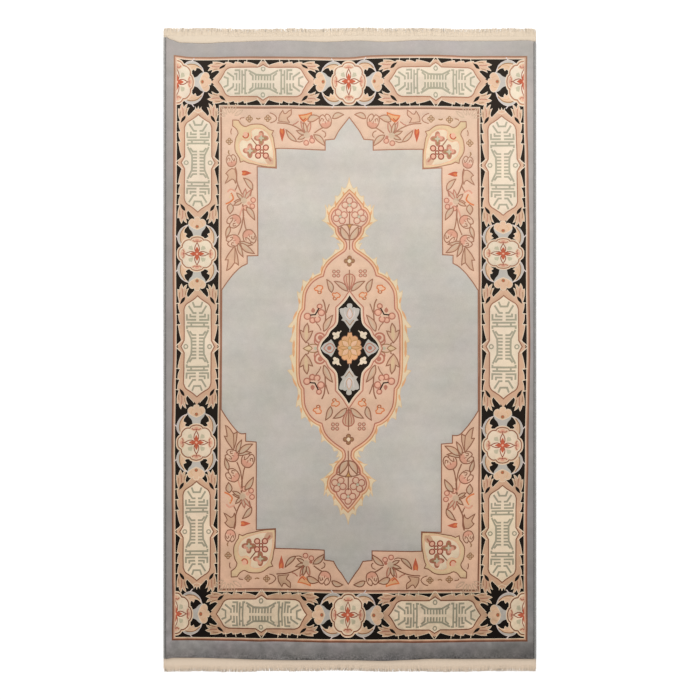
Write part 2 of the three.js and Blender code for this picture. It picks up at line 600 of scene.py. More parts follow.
    @staticmethod
    def head() -> Chart:
        """Draw the round head of a rosette: eight lobes about a red cross."""
        motif = Chart()
        line = ringed(
            (0, 71, 13, 69, 21, 65, 26, 58), (35, 59, 44, 56, 52, 49, 58, 40, 60, 27),
            (68, 21, 73, 12, 74, 0),
        )
        motif.stripe(line, Dye.CREAM, 15, closed=True)
        motif.stripe(line, Dye.PEACH, 10, closed=True)
        motif.fill(line, Dye.CREAM)
        arm = Chart()
        arm.fill(paired((0, 68, 12, 66, 25, 54), (12, 47, 0, 45)), Dye.PEACH)
        arm.fill(paired((0, 64, 6, 62, 9, 55), (0, 52)), Dye.BLOOM)
        arm.stripe((-18, 58, -10, 52, 0, 54, 10, 52, 18, 58), Dye.ROSE, 4.4)
        arm.stripe(run(0, 56, 0, 42), Dye.MAUVE, 3)
        arm.shape(lens(at(0, 3), at(0, 47), 19), Dye.CREAM, Dye.MAUVE, 3.6)
        arm.fill(lens(at(0, 0), at(0, 31), 15), Dye.RED)
        blade = Chart()
        blade.fill(paired((0, 45, 6, 41, 10, 40), (7, 31, 0, 21)), Dye.SAGE)
        for i in range(4):
            motif.place(blade, turn=45 + 90 * i)
            motif.place(arm, turn=90 * i)
        motif.line(line, Dye.BROWN, 4.2, closed=True)
        motif.fill(circle(11), Dye.RED)
        motif.fill(circle(4.5), Dye.SALMON)
        return motif

    def rosette(self, tall: float = 1.0) -> Chart:
        """Draw a rosette with its four acanthus leaves.

        Args:
            tall: stretch of its head along the y axis.

        Returns:
            The rosette.
        """
        motif = Chart()
        motif.quartered(self.acanthus())
        motif.add(self.head(), lambda point: at(point.real, tall * point.imag))
        return motif

    def draw(self, chart: Chart) -> None:
        """Paint the whole border."""
        self.guards(chart)
        self.side_bands(chart)
        self.end_bands(chart)

    def side_bands(self, chart: Chart) -> None:
        """Paint the motifs of the two side bands."""
        cartouche, crown, trefoil = self.cartouche((173, 130, 88)), self.crown(), self.trefoil()
        for side, row, size in self.cartouches:
            x = side * self.middle.real
            chart.add(cartouche, lambda point: at(x + point.real, row + size * point.imag))
            if abs(row) > 700:
                way = math.copysign(1, row)
                chart.add(crown, lambda point: at(x + point.real, row + way * (201 * size + point.imag)))
        for side, row, tall, nearer in self.rosettes:
            x = side * self.middle.real - 1.5
            chart.add(trefoil, lambda point: at(x + point.real, row - nearer + point.imag))
            chart.add(trefoil, lambda point: at(x + point.real, row - point.imag))
            chart.place(self.rosette(tall), at(x, row))

    def laid(self, x: float, y: float, way: int, wide: float) -> Move:
        """Return the move that lays a motif along an end band.

        Args:
            x: where its origin goes across the rug, mm.
            y: where it goes along the rug, mm.
            way: 1 for its top to the right, -1 for its top to the left.
            wide: its stretch across the band.

        Returns:
            The move.
        """
        return lambda point: at(x + self.band.real * way * point.imag, y + wide * point.real)

    def end_bands(self, chart: Chart) -> None:
        """Paint the motifs of the two end bands, with half a rosette at each corner."""
        cartouche, rosette, trefoil = self.cartouche((159, 115, 74)), self.rosette(), self.trefoil()
        half, wide = self.halved(rosette), self.band.imag
        for end in (-1, 1):
            y = end * self.middle.imag + 3
            for side in (-1, 1):
                corner = side * self.edge.real
                chart.add(cartouche, self.laid(side * self.across, y, 1, self.wide))
                chart.add(trefoil, self.laid(0, y, side, wide))
                chart.add(trefoil, self.laid(corner, y, -side, wide))
                chart.add(half, self.laid(corner, y, -side, wide))
            chart.add(rosette, self.laid(0, y, 1, wide))

    @staticmethod
    def halved(motif: Chart) -> Chart:
        """Return the part of a motif above the x axis."""
        half = Chart()
        for patch in motif.patches:
            loops = [[at(point.real, max(0.0, point.imag)) for point in path] for path in patch.loops]
            groove = [point for point in patch.groove if point.imag > 0]
            half.patches.append(Patch(loops, patch.dye, groove if len(groove) > 1 else []))
        return half


@dataclass
class Spandrels:
    """The four pink spandrels, with their palmettes, flowers and leaves, and the plain field they frame."""

    stalk: complex = -464 + 917j  # root of a palmette
    lean: float = -137  # its direction, degrees anticlockwise from up

    def draw(self, chart: Chart) -> None:
        """Paint the field and the four spandrels."""
        self.field(chart)
        chart.quartered(self.corner())

    @staticmethod
    def field(chart: Chart) -> None:
        """Paint the field inside the spandrels' stepped edge."""
        quarters = [
            smooth(
                (0, 947 + longer, 12, 932 + longer / 2, 26, 915, 44, 891, 60, 862), (97, 858), (97, 818),
                (298, 816), (296, 736), (375, 741), (375, 385), (419, 382), (419, 350),
                (445, 335 + lower, 475, 305 + lower, 500, 272 + lower, 522, 238 + lower),
            )
            for longer, lower in ((0, 0), (7, 14))
        ]
        chart.shape(both(quarters[0] + upend(quarters[1])), Dye.FIELD, Dye.BROWN)

    def palmette(self) -> Chart:
        """Draw a corner palmette, up the y axis from its stalk."""
        motif = Chart()
        outline = paired(
            (0, -20, 17, -3), (14, 18, 21, 36, 40, 43, 60, 58, 75, 74, 82, 90, 86, 114), (95, 128),
            (80, 134), (74, 150, 60, 170, 42, 196, 21, 222, 0, 243),
        )
        motif.shape(outline, Dye.GOLD, Dye.BROWN, 4)
        inner = paired(
            (0, 88, 14, 84), (26, 66, 46, 70, 64, 90), (70, 114, 64, 140, 50, 168, 32, 196, 0, 226),
        )
        motif.shape(inner, Dye.IVORY, Dye.APRICOT, 4)
        motif.fill(paired((0, 228, 15, 210, 8, 182, 0, 176)), Dye.PINK)
        motif.fill(circle(11, 60j), Dye.SALMON)
        motif.line((13, 56, 13, 68, 3, 74, -8, 70, -12, 62), Dye.RED, 5)
        motif.line(run(-7, 88, -4, 130), Dye.BROWN, 5)
        return motif

    @staticmethod
    def quatrefoil() -> Chart:
        """Draw a four-lobed flower with its lobes along the axes."""
        motif = Chart()
        cross = polar(lambda turn: 26 - 14 * math.sin(2 * turn) ** 2, 48)
        motif.shape(cross, Dye.TAN, Dye.ROSE, 5)
        for spot in run(-3, 13, -13, 3):
            motif.fill(circle(8, spot), Dye.BLOOM)
        motif.fill([0.42 * point for point in cross], Dye.SAGE)
        return motif

    @staticmethod
    def daisy(motif: Chart, hub: complex, tips: Path, lobes: Path) -> None:
        """Paint a flower in side view.

        Args:
            motif: the chart to paint it on.
            hub: its middle.
            tips: points of its narrow petals.
            lobes: middles of its round ones.
        """
        for number, tip in enumerate(tips):
            motif.blade(hub + 0.15 * (tip - hub), tip, 14, edge=Dye.ROSE if number % 2 else Dye.BROWN)
        for lobe in lobes:
            motif.shape(circle(10, lobe), Dye.SALMON, Dye.ROSE, 4)
        motif.fill(circle(13, hub), Dye.SAND)

    def corner(self) -> Chart:
        """Draw the ornament of the top left spandrel."""
        motif = Chart()
        self.top_run(motif)
        self.side_run(motif)
        fan = at(-489, 935)
        for turn in (-62, -35, -5, 22, 55):
            spin = at(math.sin(math.radians(turn)), math.cos(math.radians(turn)))
            motif.line(lens(fan + 24 * spin, fan + 66 * spin, 13), Dye.SAND, 3.4, closed=True)
        for spot in run(-408, 937, -331, 939, -492, 843):
            motif.place(blossom(4, 8, 5.5, Dye.BLUSH, Dye.TAN, Dye.SAND), spot)
        motif.line((-380, 940, -372, 936, -362, 939), Dye.TAN, 5)
        motif.line((-493, 806, -496, 798, -492, 790), Dye.TAN, 5)
        motif.place(self.palmette(), self.stalk, self.lean)
        for spot in run(-358, 858, -405, 806):
            motif.place(self.quatrefoil(), spot, 0, 1.08)
        for spot in run(-371, 819.5, -339, 819.5, -371, 786.5, -339, 786.5):
            motif.shape(circle(11, spot), Dye.SALMON, Dye.MAUVE, 5)
        motif.line((-334, 782, -325, 774, -318, 764), Dye.ROSE, 7)
        motif.fill(circle(10, at(-355, 803)), Dye.MAUVE)
        motif.fill(circle(4.5, at(-355, 803)), Dye.IVORY)
        motif.line((-482, 896, -486, 884, -484, 872), Dye.BROWN, 3.8)
        motif.line((-447, 934, -444, 940, -429, 942), Dye.BROWN, 3.8)
        return motif

    def top_run(self, motif: Chart) -> None:
        """Paint the flowers along the top of the top left spandrel."""
        brown = Dye.BROWN
        motif.line((-323, 961, -307, 955, -294, 939, -303, 926, -321, 920), brown, 3.8)
        tulip = smooth(
            (-286, 927, -284, 948, -270, 971), (-264, 958, -255, 959), (-246, 968, -235, 974),
            (-236, 954, -252, 940), (-249, 932, -242, 922),
        )
        motif.shape(tulip, Dye.BLUSH, brown, 3.9)
        motif.line((-292, 920, -252, 917, -218, 906, -184, 887), brown, 5)
        motif.line((-229, 914, -218, 918, -206, 928), Dye.ROSE, 4.4)
        motif.place(bud(56, 21), at(-272, 871))
        motif.blade(at(-214, 847), at(-257, 893), 18, -4)
        motif.line((-215, 847, -200, 845, -186, 851), brown, 3.9)
        self.daisy(
            motif, at(-171, 874),
            run(-214, 890, -197, 928, -208, 856, -157, 928, -184, 926),
            run(-174, 843, -150, 853),
        )
        motif.fill(circle(7, at(-152, 868)), Dye.ROSE)
        bird = rounded(
            (-204, 952, -181, 955, -154, 964), (-156, 950, -170, 938), (-186, 928, -199, 942, -204, 952),
        )
        motif.shape(bird, Dye.AMBER, Dye.EMBER, 5.4)
        motif.line((-199, 943, -188, 932, -177, 942), Dye.RED, 4.4)
        motif.blade(at(-168, 930), at(-119, 947), 26, -5)
        motif.place(pod(), at(-97, 930), 14, 1.08)
        motif.line((-141, 883, -122, 897, -106, 906), brown, 5)
        motif.blade(at(-143, 876), at(-97, 834), 22, -4)
        motif.line((-111, 894, -98, 888, -95, 875, -102, 868), brown, 3.9)
        motif.blade(at(-68, 943), at(-22, 957), 21, -6)

    def side_run(self, motif: Chart) -> None:
        """Paint the flowers down the left side of the top left spandrel."""
        brown = Dye.BROWN
        motif.place(pod(), at(-483, 763), 10, 0.95)
        barbed = smooth(
            (-481, 732, -494, 724, -506, 711), (-496, 700, -510, 671), (-495, 680, -480, 690),
            (-470, 684, -466, 672, -462, 700, -468, 730),
        )
        motif.shape(barbed, Dye.BLUSH, brown, 3.9)
        motif.line((-467, 738, -461, 716, -460, 680, -447, 645, -437, 628), brown, 5.6)
        motif.line((-459, 664, -463, 654, -469, 644), brown, 4.6)
        motif.place(bud(42, 21), at(-419, 715), 90)
        motif.blade(at(-395, 648), at(-433, 695), 21, 5)
        motif.line((-397, 650, -401, 634, -404, 622), brown, 3.6)
        self.daisy(
            motif, at(-432, 605),
            run(-462, 634, -424, 652, -472, 598, -400, 648, -474, 584),
            run(-393, 607, -397, 582, -425, 575),
        )
        motif.fill(circle(8, at(-411, 594)), Dye.BLOOM)
        motif.line((-507, 588, -488, 597, -475, 612, -485, 633), Dye.EMBER, 6.4)
        motif.line((-492, 612, -488, 620, -484, 628), Dye.GOLD, 6)
        motif.line((-500, 636, -487, 648, -466, 640), Dye.BLOOM, 7)
        motif.blade(at(-487, 590), at(-490, 549), 26)
        motif.blade(at(-422, 578), at(-387, 527), 22, -3)
        motif.line((-437, 590, -435, 560, -434, 541), brown, 7)
        motif.line((-436, 580, -446, 556, -450, 540), Dye.BLOOM, 6)
        motif.line((-434, 545, -442, 500, -455, 466), brown, 5)
        motif.line((-434, 541, -427, 500, -421, 486), brown, 5)
        motif.place(pod(), at(-472, 521), 128, 1.1)
        motif.blade(at(-491, 500), at(-505, 452), 17)
        motif.place(pod(), at(-474, 441), 112, 1.08)
        motif.place(pod(), at(-410, 460), 206, 1.16)
        motif.blade(at(-450, 438), at(-396, 428), 15, 3)
        motif.blade(at(-446, 432), at(-389, 393), 24, 4)
        jagged = rounded(
            (-470, 418, -492, 390, -508, 362), (-496, 363), (-498, 345, -503, 319), (-488, 328, -470, 352),
            (-462, 349, -454, 342), (-458, 380, -468, 416),
        )
        motif.shape(jagged, Dye.BLUSH, brown, 4.4)
        motif.line((-468, 414, -468, 385, -470, 354), brown, 3.9)
        motif.blade(at(-455, 430), at(-435, 376), 17, 3)


@dataclass
class Medallion:
    """The pointed medallion with its pendants, flame edge and night-coloured heart."""

    barbs: Rows = (
        (20, 632, 30, 664), (82, 548, 96, 588), (56, 590, 58, 624), (70, 514, 106, 530), (36, 454, 70, 468),
        (30, 396, 50, 412), (116, 322, 108, 366), (164, 282, 150, 308), (194, 240, 189, 276),
        (202, 186, 209, 226), (212, 158, 240, 100), (224, 100, 238, 38), (226, 36, 228, -36),
    )  # root and tip of the flames' cores, mm

    @staticmethod
    def outline() -> Path:
        """Return the medallion's own outline, pendants included."""
        return ringed(
            (0, 646, 10, 636, 22, 621, 46, 590, 47, 582), (64, 571, 74, 547, 67, 524, 49, 508),
            (45, 484, 30, 464, 14, 446, 12, 424, 20, 408, 51, 386, 81, 360, 98, 334, 107, 304),
            (128, 296, 152, 277, 169, 252, 179, 224, 183, 164), (197, 140, 203, 92, 204, 0),
        )

    @staticmethod
    def flames() -> Path:
        """Return the outline of the flames around it."""
        return ringed(
            (0, 712, 3, 694, 10, 674), (18, 664, 31, 672), (34, 652, 42, 636), (48, 632, 58, 634),
            (58, 616, 64, 600, 72, 588), (78, 592, 84, 598), (86, 588, 90, 578), (94, 588, 100, 596),
            (96, 574, 96, 550), (102, 538, 113, 532), (96, 522, 78, 504, 62, 488), (66, 476, 78, 468),
            (58, 464, 42, 450, 34, 436), (40, 438, 50, 440), (42, 426, 40, 414), (48, 414, 58, 416),
            (66, 398, 78, 384, 94, 373), (100, 374, 110, 381), (108, 358, 114, 336, 122, 316, 138, 305),
            (144, 308, 150, 319), (156, 302, 170, 280), (178, 280, 191, 288), (192, 264, 200, 232),
            (206, 234, 213, 240), (210, 212, 206, 190, 208, 166), (218, 144, 228, 118, 250, 90),
            (240, 86, 231, 88), (232, 62, 243, 30), (236, 26, 231, 24), (232, 12, 232, 0),
        )

    @staticmethod
    def heart_line() -> Path:
        """Return the outline of the night-coloured heart."""
        return ringed(
            (0, 228, 20, 198, 47, 168), (48, 132, 52, 103, 64, 86, 80, 71, 90, 50),
            (104, 36, 114, 23, 123, 0),
        )

    @staticmethod
    def pendant() -> Chart:
        """Draw the florets and leaves of the upper pendant."""
        motif = Chart()
        floret = blossom(4, 15, 11, Dye.GROUND, Dye.ROSE, Dye.SAGE)
        motif.place(floret, at(0, 597), 0, 1.2)
        for side in (-1, 1):
            motif.place(floret, at(side * 38, 549), side * -25, 1.2)
            motif.blade(at(side * 28, 474), at(side * 47, 505), 12, 0, Dye.ROSE)
            motif.blade(at(side * 2, 454), at(side * 35, 509), 26, side * 5)
            motif.line((0, 512, side * 20, 516, side * 46, 508), Dye.BROWN, 4.4)
        motif.line(run(0, 572, 0, 516), Dye.BROWN, 5)
        motif.shape(paired((0, 518, 12, 519), (4, 506, 0, 488)), Dye.OCHRE, Dye.BROWN, 4)
        motif.line(run(0, 490, 0, 414), Dye.BROWN, 4.4)
        return motif

    @staticmethod
    def cloud() -> Chart:
        """Draw an orange flower like a small cloud, about 36 mm across."""
        motif = Chart()
        outline = rounded(
            (-17, 2, -17, 13, -8, 17), (2, 19, 7, 13), (18, 10, 15, 0, 6, -3),
            (8, -14, -1, -18, -8, -12, -8, -3, -17, 2),
        )
        motif.shape(outline, Dye.APRICOT, Dye.EMBER, 4.6)
        motif.fill(lens(at(-9, 9), at(6, 1), 12), Dye.GROUND)
        motif.stripe(circle(6, at(1, -12)), Dye.BROWN, 3, closed=True)
        return motif

    def side(self) -> Chart:
        """Draw the flowers of the upper right quarter."""
        motif = Chart()
        brown = Dye.BROWN
        motif.place(blossom(4, 12, 6.5, Dye.SAND, Dye.ROSE, Dye.GROUND), at(54, 316), 45)
        motif.blade(at(8, 242), at(62, 283), 22, -5)
        motif.blade(at(73, 236), at(93, 291), 22, -5)
        motif.place(self.cloud(), at(125, 247), -14, 0.95)
        motif.place(self.cloud(), at(56, 219), 20, 0.9)
        motif.line((110, 206, 103, 190, 99, 168, 98, 126, 106, 70), brown, 5.6)
        motif.line((82, 186, 89, 168, 95, 148), brown, 4.6)
        motif.line((57, 146, 52, 122, 58, 104, 84, 80, 97, 56), brown, 4)
        motif.blade(at(104, 70), at(68, 138), 24, 5)
        for x, y, size in ((171, 134, 13), (122, 176, 10), (115, 149, 13), (150, 117, 11), (131, 121, 12)):
            motif.shape(circle(size, at(x, y)), Dye.SALMON, Dye.ROSE, 5)
        motif.fill(circle(9, at(134, 138)), Dye.GROUND)
        motif.fill([at(148, 148) + point for point in leaf(23, 17)], Dye.ROSE)
        motif.stripe(run(160, 139, 139, 141, 125, 168), Dye.NIGHT, 5.4)
        star = rounded(
            (171, 104, 183, 88, 187, 68), (194, 73, 202, 76), (194, 46, 178, 23), (161, 44, 149, 72),
            (158, 70, 166, 66), (165, 86, 171, 104),
        )
        motif.shape(star, Dye.BLUSH, brown, 4.6)
        motif.fill(lens(at(177, 32), at(173, 92), 14), Dye.FLAX)
        motif.line((136, 108, 124, 92, 116, 74), brown, 4)
        motif.shape(circle(20, at(121, 43)), Dye.GROUND, Dye.ROSE, 7)
        motif.fill(circle(10.5, at(119, 44)), Dye.ROSE)
        motif.line((142, 38, 142, 22, 122, 10), Dye.ROSE, 5)
        motif.line((176, 24, 166, 20, 168, 12), brown, 4)
        return motif

    @staticmethod
    def axis() -> Chart:
        """Draw the flowers on the upper half of the long axis."""
        motif = Chart()
        motif.place(blossom(4, 13, 8.5, Dye.TAN, Dye.BROWN, Dye.IVORY), 368j)
        motif.fill(circle(8, 368j), Dye.IVORY)
        bulb = paired((0, 315, 12, 312, 20, 304, 23, 293, 17, 272, 0, 244))
        motif.shape(bulb, Dye.BLUSH, Dye.ROSE, 5)
        for side in (-1, 1):
            motif.stripe((side * 11, 306, side * 12, 286, side * 4, 256), Dye.ROSE, 4)
        motif.line(run(0, 332, 0, 240), Dye.BROWN, 4.4)
        return motif

    @staticmethod
    def bloom() -> Chart:
        """Draw the long flower on the right of the heart."""
        motif = Chart()
        motif.shape(lens(at(118, 0), at(188, 0), 34), Dye.GROUND, Dye.TAN, 4)
        motif.shape(lens(at(152, 0), at(187, 0), 20), Dye.GOLD, Dye.TAN, 3.4)
        motif.fill(circle(8, 139), Dye.SAGE)
        return motif

    def heart(self) -> Chart:
        """Draw the night-coloured heart with its rosette and buds."""
        motif = Chart()
        line = self.heart_line()
        motif.stripe(line, Dye.ROSE, 23, closed=True)
        motif.stripe(line, Dye.GROUND, 14, closed=True)
        motif.inlay(line, Dye.NIGHT, Dye.CREAM, 4)
        lily = paired(
            (0, 190, 9, 187, 11, 178, 8, 168), (16, 173, 26, 168), (34, 168, 41, 164), (38, 146, 28, 126),
            (32, 120, 35, 116), (28, 114, 22, 110), (10, 92, 0, 77),
        )
        ray = Chart()
        ray.fill(lily, Dye.MIST)
        ray.stripe((-20, 158, -17, 136, 0, 118, 17, 136, 20, 158), Dye.PALE, 3)
        ray.shape(lens(at(0, 122), at(0, 168), 22), Dye.PALE, Dye.PINK, 3)
        ray.stripe(smooth((-17, 117, -8, 106, 0, 95), (8, 106, 17, 117)), Dye.TAN, 3)
        ray.stripe(run(0, 78, 0, 56), Dye.MIST, 2.4)
        motif.ended(ray)
        side = Chart()
        kite = rounded(
            (76, 36, 66, 22, 56, 0), (66, -22, 76, -36), (88, -26, 104, -18, 119, 0),
            (104, 18, 88, 26, 76, 36),
        )
        side.fill(kite, Dye.MIST)
        side.stripe(lens(at(62, 0), at(106, 0), 38), Dye.ROSE, 3.6, closed=True)
        side.fill(circle(9, 83), Dye.ROSE)
        side.stripe(run(58, 0, 46, 0), Dye.MIST, 2.4)
        motif.sided(side)
        knob = Chart()
        knob.stripe(run(44, 62, 35, 72), Dye.CREAM, 3.6)
        knob.stripe(run(58, 46, 64, 38), Dye.CREAM, 3.6)
        knob.fill(circle(12, at(54, 52)), Dye.CREAM)
        for spot in run(48, 62, 64, 59, 61, 43):
            knob.fill(circle(7, spot), Dye.CREAM)
        knob.stripe((48, 44, 56, 52, 66, 52), Dye.SAGE, 2.6)
        motif.quartered(knob)
        motif.place(self.amber())
        return motif

    def amber(self) -> Chart:
        """Draw the amber rosette in the middle of the heart."""
        motif = Chart()

        def reach(turn: float) -> float:
            """Return its radius: twelve lobes, taller toward both ends, where there is a point."""
            point = 9 if abs(math.sin(turn)) > 0.985 else 0
            return 41 + point + 7 * math.sqrt(abs(math.cos(6 * turn))) + 6 * math.sin(turn) ** 2

        body = polar(reach, 144)
        motif.fill([1.06 * point for point in body], Dye.RUST)
        motif.fill(body, Dye.AMBER)
        broad, narrow = Chart(), Chart()
        broad.shape(lens(at(0, 6), at(0, 45), 23), Dye.APRICOT, Dye.OCHRE, 2.6)
        narrow.shape(lens(at(0, 6), at(0, 46), 13), Dye.AMBER, Dye.OCHRE, 2.8)
        for i in range(4):
            motif.place(broad, turn=45 + 90 * i)
            motif.place(narrow, turn=90 * i)
        motif.fill(circle(7.5), Dye.SAGE)
        return motif

    def draw(self, chart: Chart) -> None:
        """Paint the whole medallion."""
        line, flames = self.outline(), self.flames()
        chart.inlay(flames, Dye.HALO, Dye.FLAX, 2.4)
        chart.stripe(line, Dye.HALO, 37, closed=True)
        embers = Chart()
        for barb in self.barbs:
            base, tip = run(*barb)
            embers.fill(lens(base, base + 0.7 * (tip - base), 9), Dye.AMBER)
        chart.quartered(embers)
        chart.stripe(line, Dye.FLAME, 26, closed=True)
        chart.stripe(line, Dye.APRICOT, 17, closed=True)
        chart.shape(line, Dye.GROUND, Dye.ROSE, 4.8)
        chart.quartered(self.side())
        chart.sided(self.bloom())
        ends = Chart()
        ends.place(self.pendant())
        ends.place(self.axis())
        chart.ended(ends)
        chart.place(self.heart())


@dataclass(frozen=True)
class Creep:
    """How far the knots lie off the chart, whose lines are never woven quite true."""

    columns: tuple[float, ...] = (-627, -300, 0, 300, 530, 715)
    rows: tuple[float, ...] = (-1184, -1084, -984, -760, -380, 0, 380, 760, 984, 1084, 1184)
    across: Rows = (
        (-4, -9, -9, -8, -6, 2),
        (-2, -15, -9, -4, -6, 2),
        (-3, -8, -6, -4, -4, 1),
        (-3, -8, -6, -4, -1, 1),
        (-4, -9, -4, -1, 2, 8),
        (0, -2, 0, 1, 5, 13),
        (1, -1, -2, 3, 1, 9),
        (3, -3, -3, 2, -2, 5),
        (3, -3, -3, 0, -4, 0),
        (3, -3, -6, -2, -7, 0),
        (3, -3, -5, -2, -6, 0),
    )
    along: Rows = (
        (13, 7, 4, 3, 6, 6),
        (8, 4, 4, 0, 2, 2),
        (9, 9, 2, 3, 5, 5),
        (8, 10, 2, -2, 7, 7),
        (13, 12, 5, 4, 4, 4),
        (11, 8, 11, 5, 9, 9),
        (11, 1, -2, 4, 6, 6),
        (11, 7, -4, 3, 3, 3),
        (8, 8, 6, 4, 0, 0),
        (8, 9, 11, 12, 10, 10),
        (5, 8, 5, 9, 4, 4),
    )

    @staticmethod
    def between(marks: tuple[float, ...], value: float) -> tuple[int, float]:
        """Return the number of the mark before a value, and the eased share of the way to the next one."""
        number = 0
        while number < len(marks) - 2 and marks[number + 1] < value:
            number += 1
        share = clamped((value - marks[number]) / (marks[number + 1] - marks[number]))
        return number, share * share * (3 - 2 * share)

    def at(self, x: float, y: float) -> complex:
        """Return how far the knot at a charted place lies off it, mm."""
        i, right = self.between(self.columns, x)
        j, up = self.between(self.rows, y)
        shift = 0j
        for row, share in ((j, 1 - up), (j + 1, up)):
            for column, part in ((i, 1 - right), (i + 1, right)):
                shift += share * part * complex(self.across[row][column], self.along[row][column])
        return shift


CREEP = Creep()
DRIFT = (Vector((0.0, 0.0, 0.5)), Vector((37.3, 11.9, 5.5)))  # where the noise for x and y is read
DRIFT_SCALE = 400  # mm of the rug for each step of the slowest noise
DRIFT_LAYERS = ((2.6, 1), (1.1, 5), (0.5, 32))  # reach in mm of each layer, and how much finer it is
FAR_BAND = 1150  # where the plain far band starts along the rug, mm


def drift(place: Vector) -> complex:
    """Return a smooth random shift, the same each time."""
    return at(*(noise.noise(place + start) for start in DRIFT))


def settled(point: complex) -> complex:
    """Return where a charted point lies on the woven rug."""
    x, y = point.real, point.imag
    shift = CREEP.at(x, y)
    if y > FAR_BAND:
        # The far guard turns up at its left corner, and lies a little higher on the right than on the left
        shift += 1j * (8 * math.exp(-(((x + 722) / 40) ** 2)) + 3 * math.tanh((x - 45) / 25))
    place = Vector((x / DRIFT_SCALE, y / DRIFT_SCALE, 0.0))
    point += shift
    for reach, finer in DRIFT_LAYERS:
        point += reach * drift(place * finer)
    return point


def linear(dye: Dye, share: float = 1.0) -> Triple:
    """Turn a dye into linear light.

    Args:
        dye: the dye.
        share: of the light that is kept.

    Returns:
        Red, green and blue.
    """
    parts = [int(dye.value[i : i + 2], 16) / 255 for i in (0, 2, 4)]
    return tuple(share * (v / 12.92 if v <= 0.04045 else ((v + 0.055) / 1.055) ** 2.4) for v in parts)


# Painted shade: share of its light that a dye keeps at the near end, past what all dyes lose there
NEAR_SHADE = {
    Dye.FIELD: (0.78, 0.78, 0.78),
    Dye.MIST: (0.8, 0.78, 0.76),
    Dye.BAND: (0.9, 0.91, 0.93),
    Dye.NIGHT: (0.24, 0.19, 0.16),
    Dye.BROWN: (0.42, 0.29, 0.22),
    Dye.RUST: (0.5, 0.34, 0.27),
    Dye.ROSE: (0.66, 0.5, 0.42),
    Dye.MAUVE: (0.8, 0.62, 0.56),
    Dye.TAN: (0.72, 0.6, 0.52),
    Dye.FRET: (0.7, 0.66, 0.62),
    Dye.GROUND: (0.91, 0.79, 0.71),
    Dye.BLUSH: (0.74, 0.66, 0.58),
    Dye.PINK: (0.82, 0.74, 0.66),
    Dye.GUARD: (0.84, 0.7, 0.6),
    Dye.SAND: (0.8, 0.74, 0.68),
    Dye.FLAX: (0.92, 0.84, 0.76),
    Dye.CREAM: (0.96, 0.88, 0.78),
}
OTHER_NEAR_SHADE = (0.93, 0.88, 0.83)  # the same for any other dye
DYES = {dye: linear(dye) for dye in Dye}
# Patches of painted shade, and of painted light where the share is below 0: x, y, reach in mm, and the share
# of light lost there
SHADE_PATCHES = (
    (0, -790, 210, 0.13),
    (-260, -640, 150, 0.05),
    (400, 40, 170, 0.09),
    (270, -490, 170, -0.09),
    (0, -520, 90, 0.05),
    (640, 760, 210, -0.12),
    (640, 20, 260, -0.07),
    (640, -750, 210, -0.09),
    (-640, -760, 210, -0.05),
    (-360, 1084, 190, 0.09),
    (360, 1084, 220, 0.05),
    (-360, -1084, 200, 0.14),
    (360, -1084, 220, 0.09),
    (0, 560, 120, -0.04),
)


@lru_cache(maxsize=None)
def patch_shade(x: float, y: float) -> float:
    """Return the share of light that the patches of painted shade and light leave at a place on the pattern.
    """
    return 1 - sum(loss * math.exp(-abs(at(x - a, y - b) / reach) ** 2) for a, b, reach, loss in SHADE_PATCHES)


@dataclass(frozen=True)
class BandShade:
    """The painted shade of the plain outer band: the light it has lost, which changes along each side and at
    the near hem.
    """

    width: float = 1400.0  # from the left band to the right one, mm
    hem: float = -1188.0  # where the near hem starts, mm
    fade: float = 14.0  # how far it takes to set in, mm
    hem_loss: float = 0.3
    hem_gain: float = 0.24  # what the loss at the hem gains to the right
    left_loss: float = 0.03
    left_gain: float = 0.18  # what it gains toward the near end
    left_stop: float = 0.45  # share of the rug's length where that gain stops
    right_loss: float = -0.08
    right_gain: float = 0.62
    right_start: float = 0.35  # share of the length where the gain on the right starts

    def kept(self, x: float, y: float, near: float) -> float:
        """Return the share of light left at a place. near is its share of the way to the near end."""
        hem = clamped((self.hem - y) / self.fade)
        right = clamped(0.5 + x / self.width)
        left_loss = self.left_loss + self.left_gain * min(near, self.left_stop)
        right_loss = self.right_gain * max(0.0, near - self.right_start) + self.right_loss
        middle = (1 - right) * left_loss + right * right_loss
        return 1 - hem * (self.hem_loss + self.hem_gain * right) - (1 - hem) * middle


BAND_SHADE = BandShade()


def shaded_colour(dye: Dye, x: float, y: float) -> Triple:
    """Return the linear colour of a dye at a place on the rug, with the painted shade and light of its
    place.
    """
    # Painted shade deepens toward the near end, by each dye's own share.
    near = clamped(0.5 - y / LENGTH)
    shares = NEAR_SHADE.get(dye, OTHER_NEAR_SHADE)
    # Painted shade: the outer band's own along its sides and hem, and the painted patches everywhere else.
    shade_kept = BAND_SHADE.kept(x, y, near) if dye is Dye.BAND else patch_shade(x, y)
    return tuple(shade_kept * part * (1 - near * (1 - share)) for part, share in zip(DYES[dye], shares))


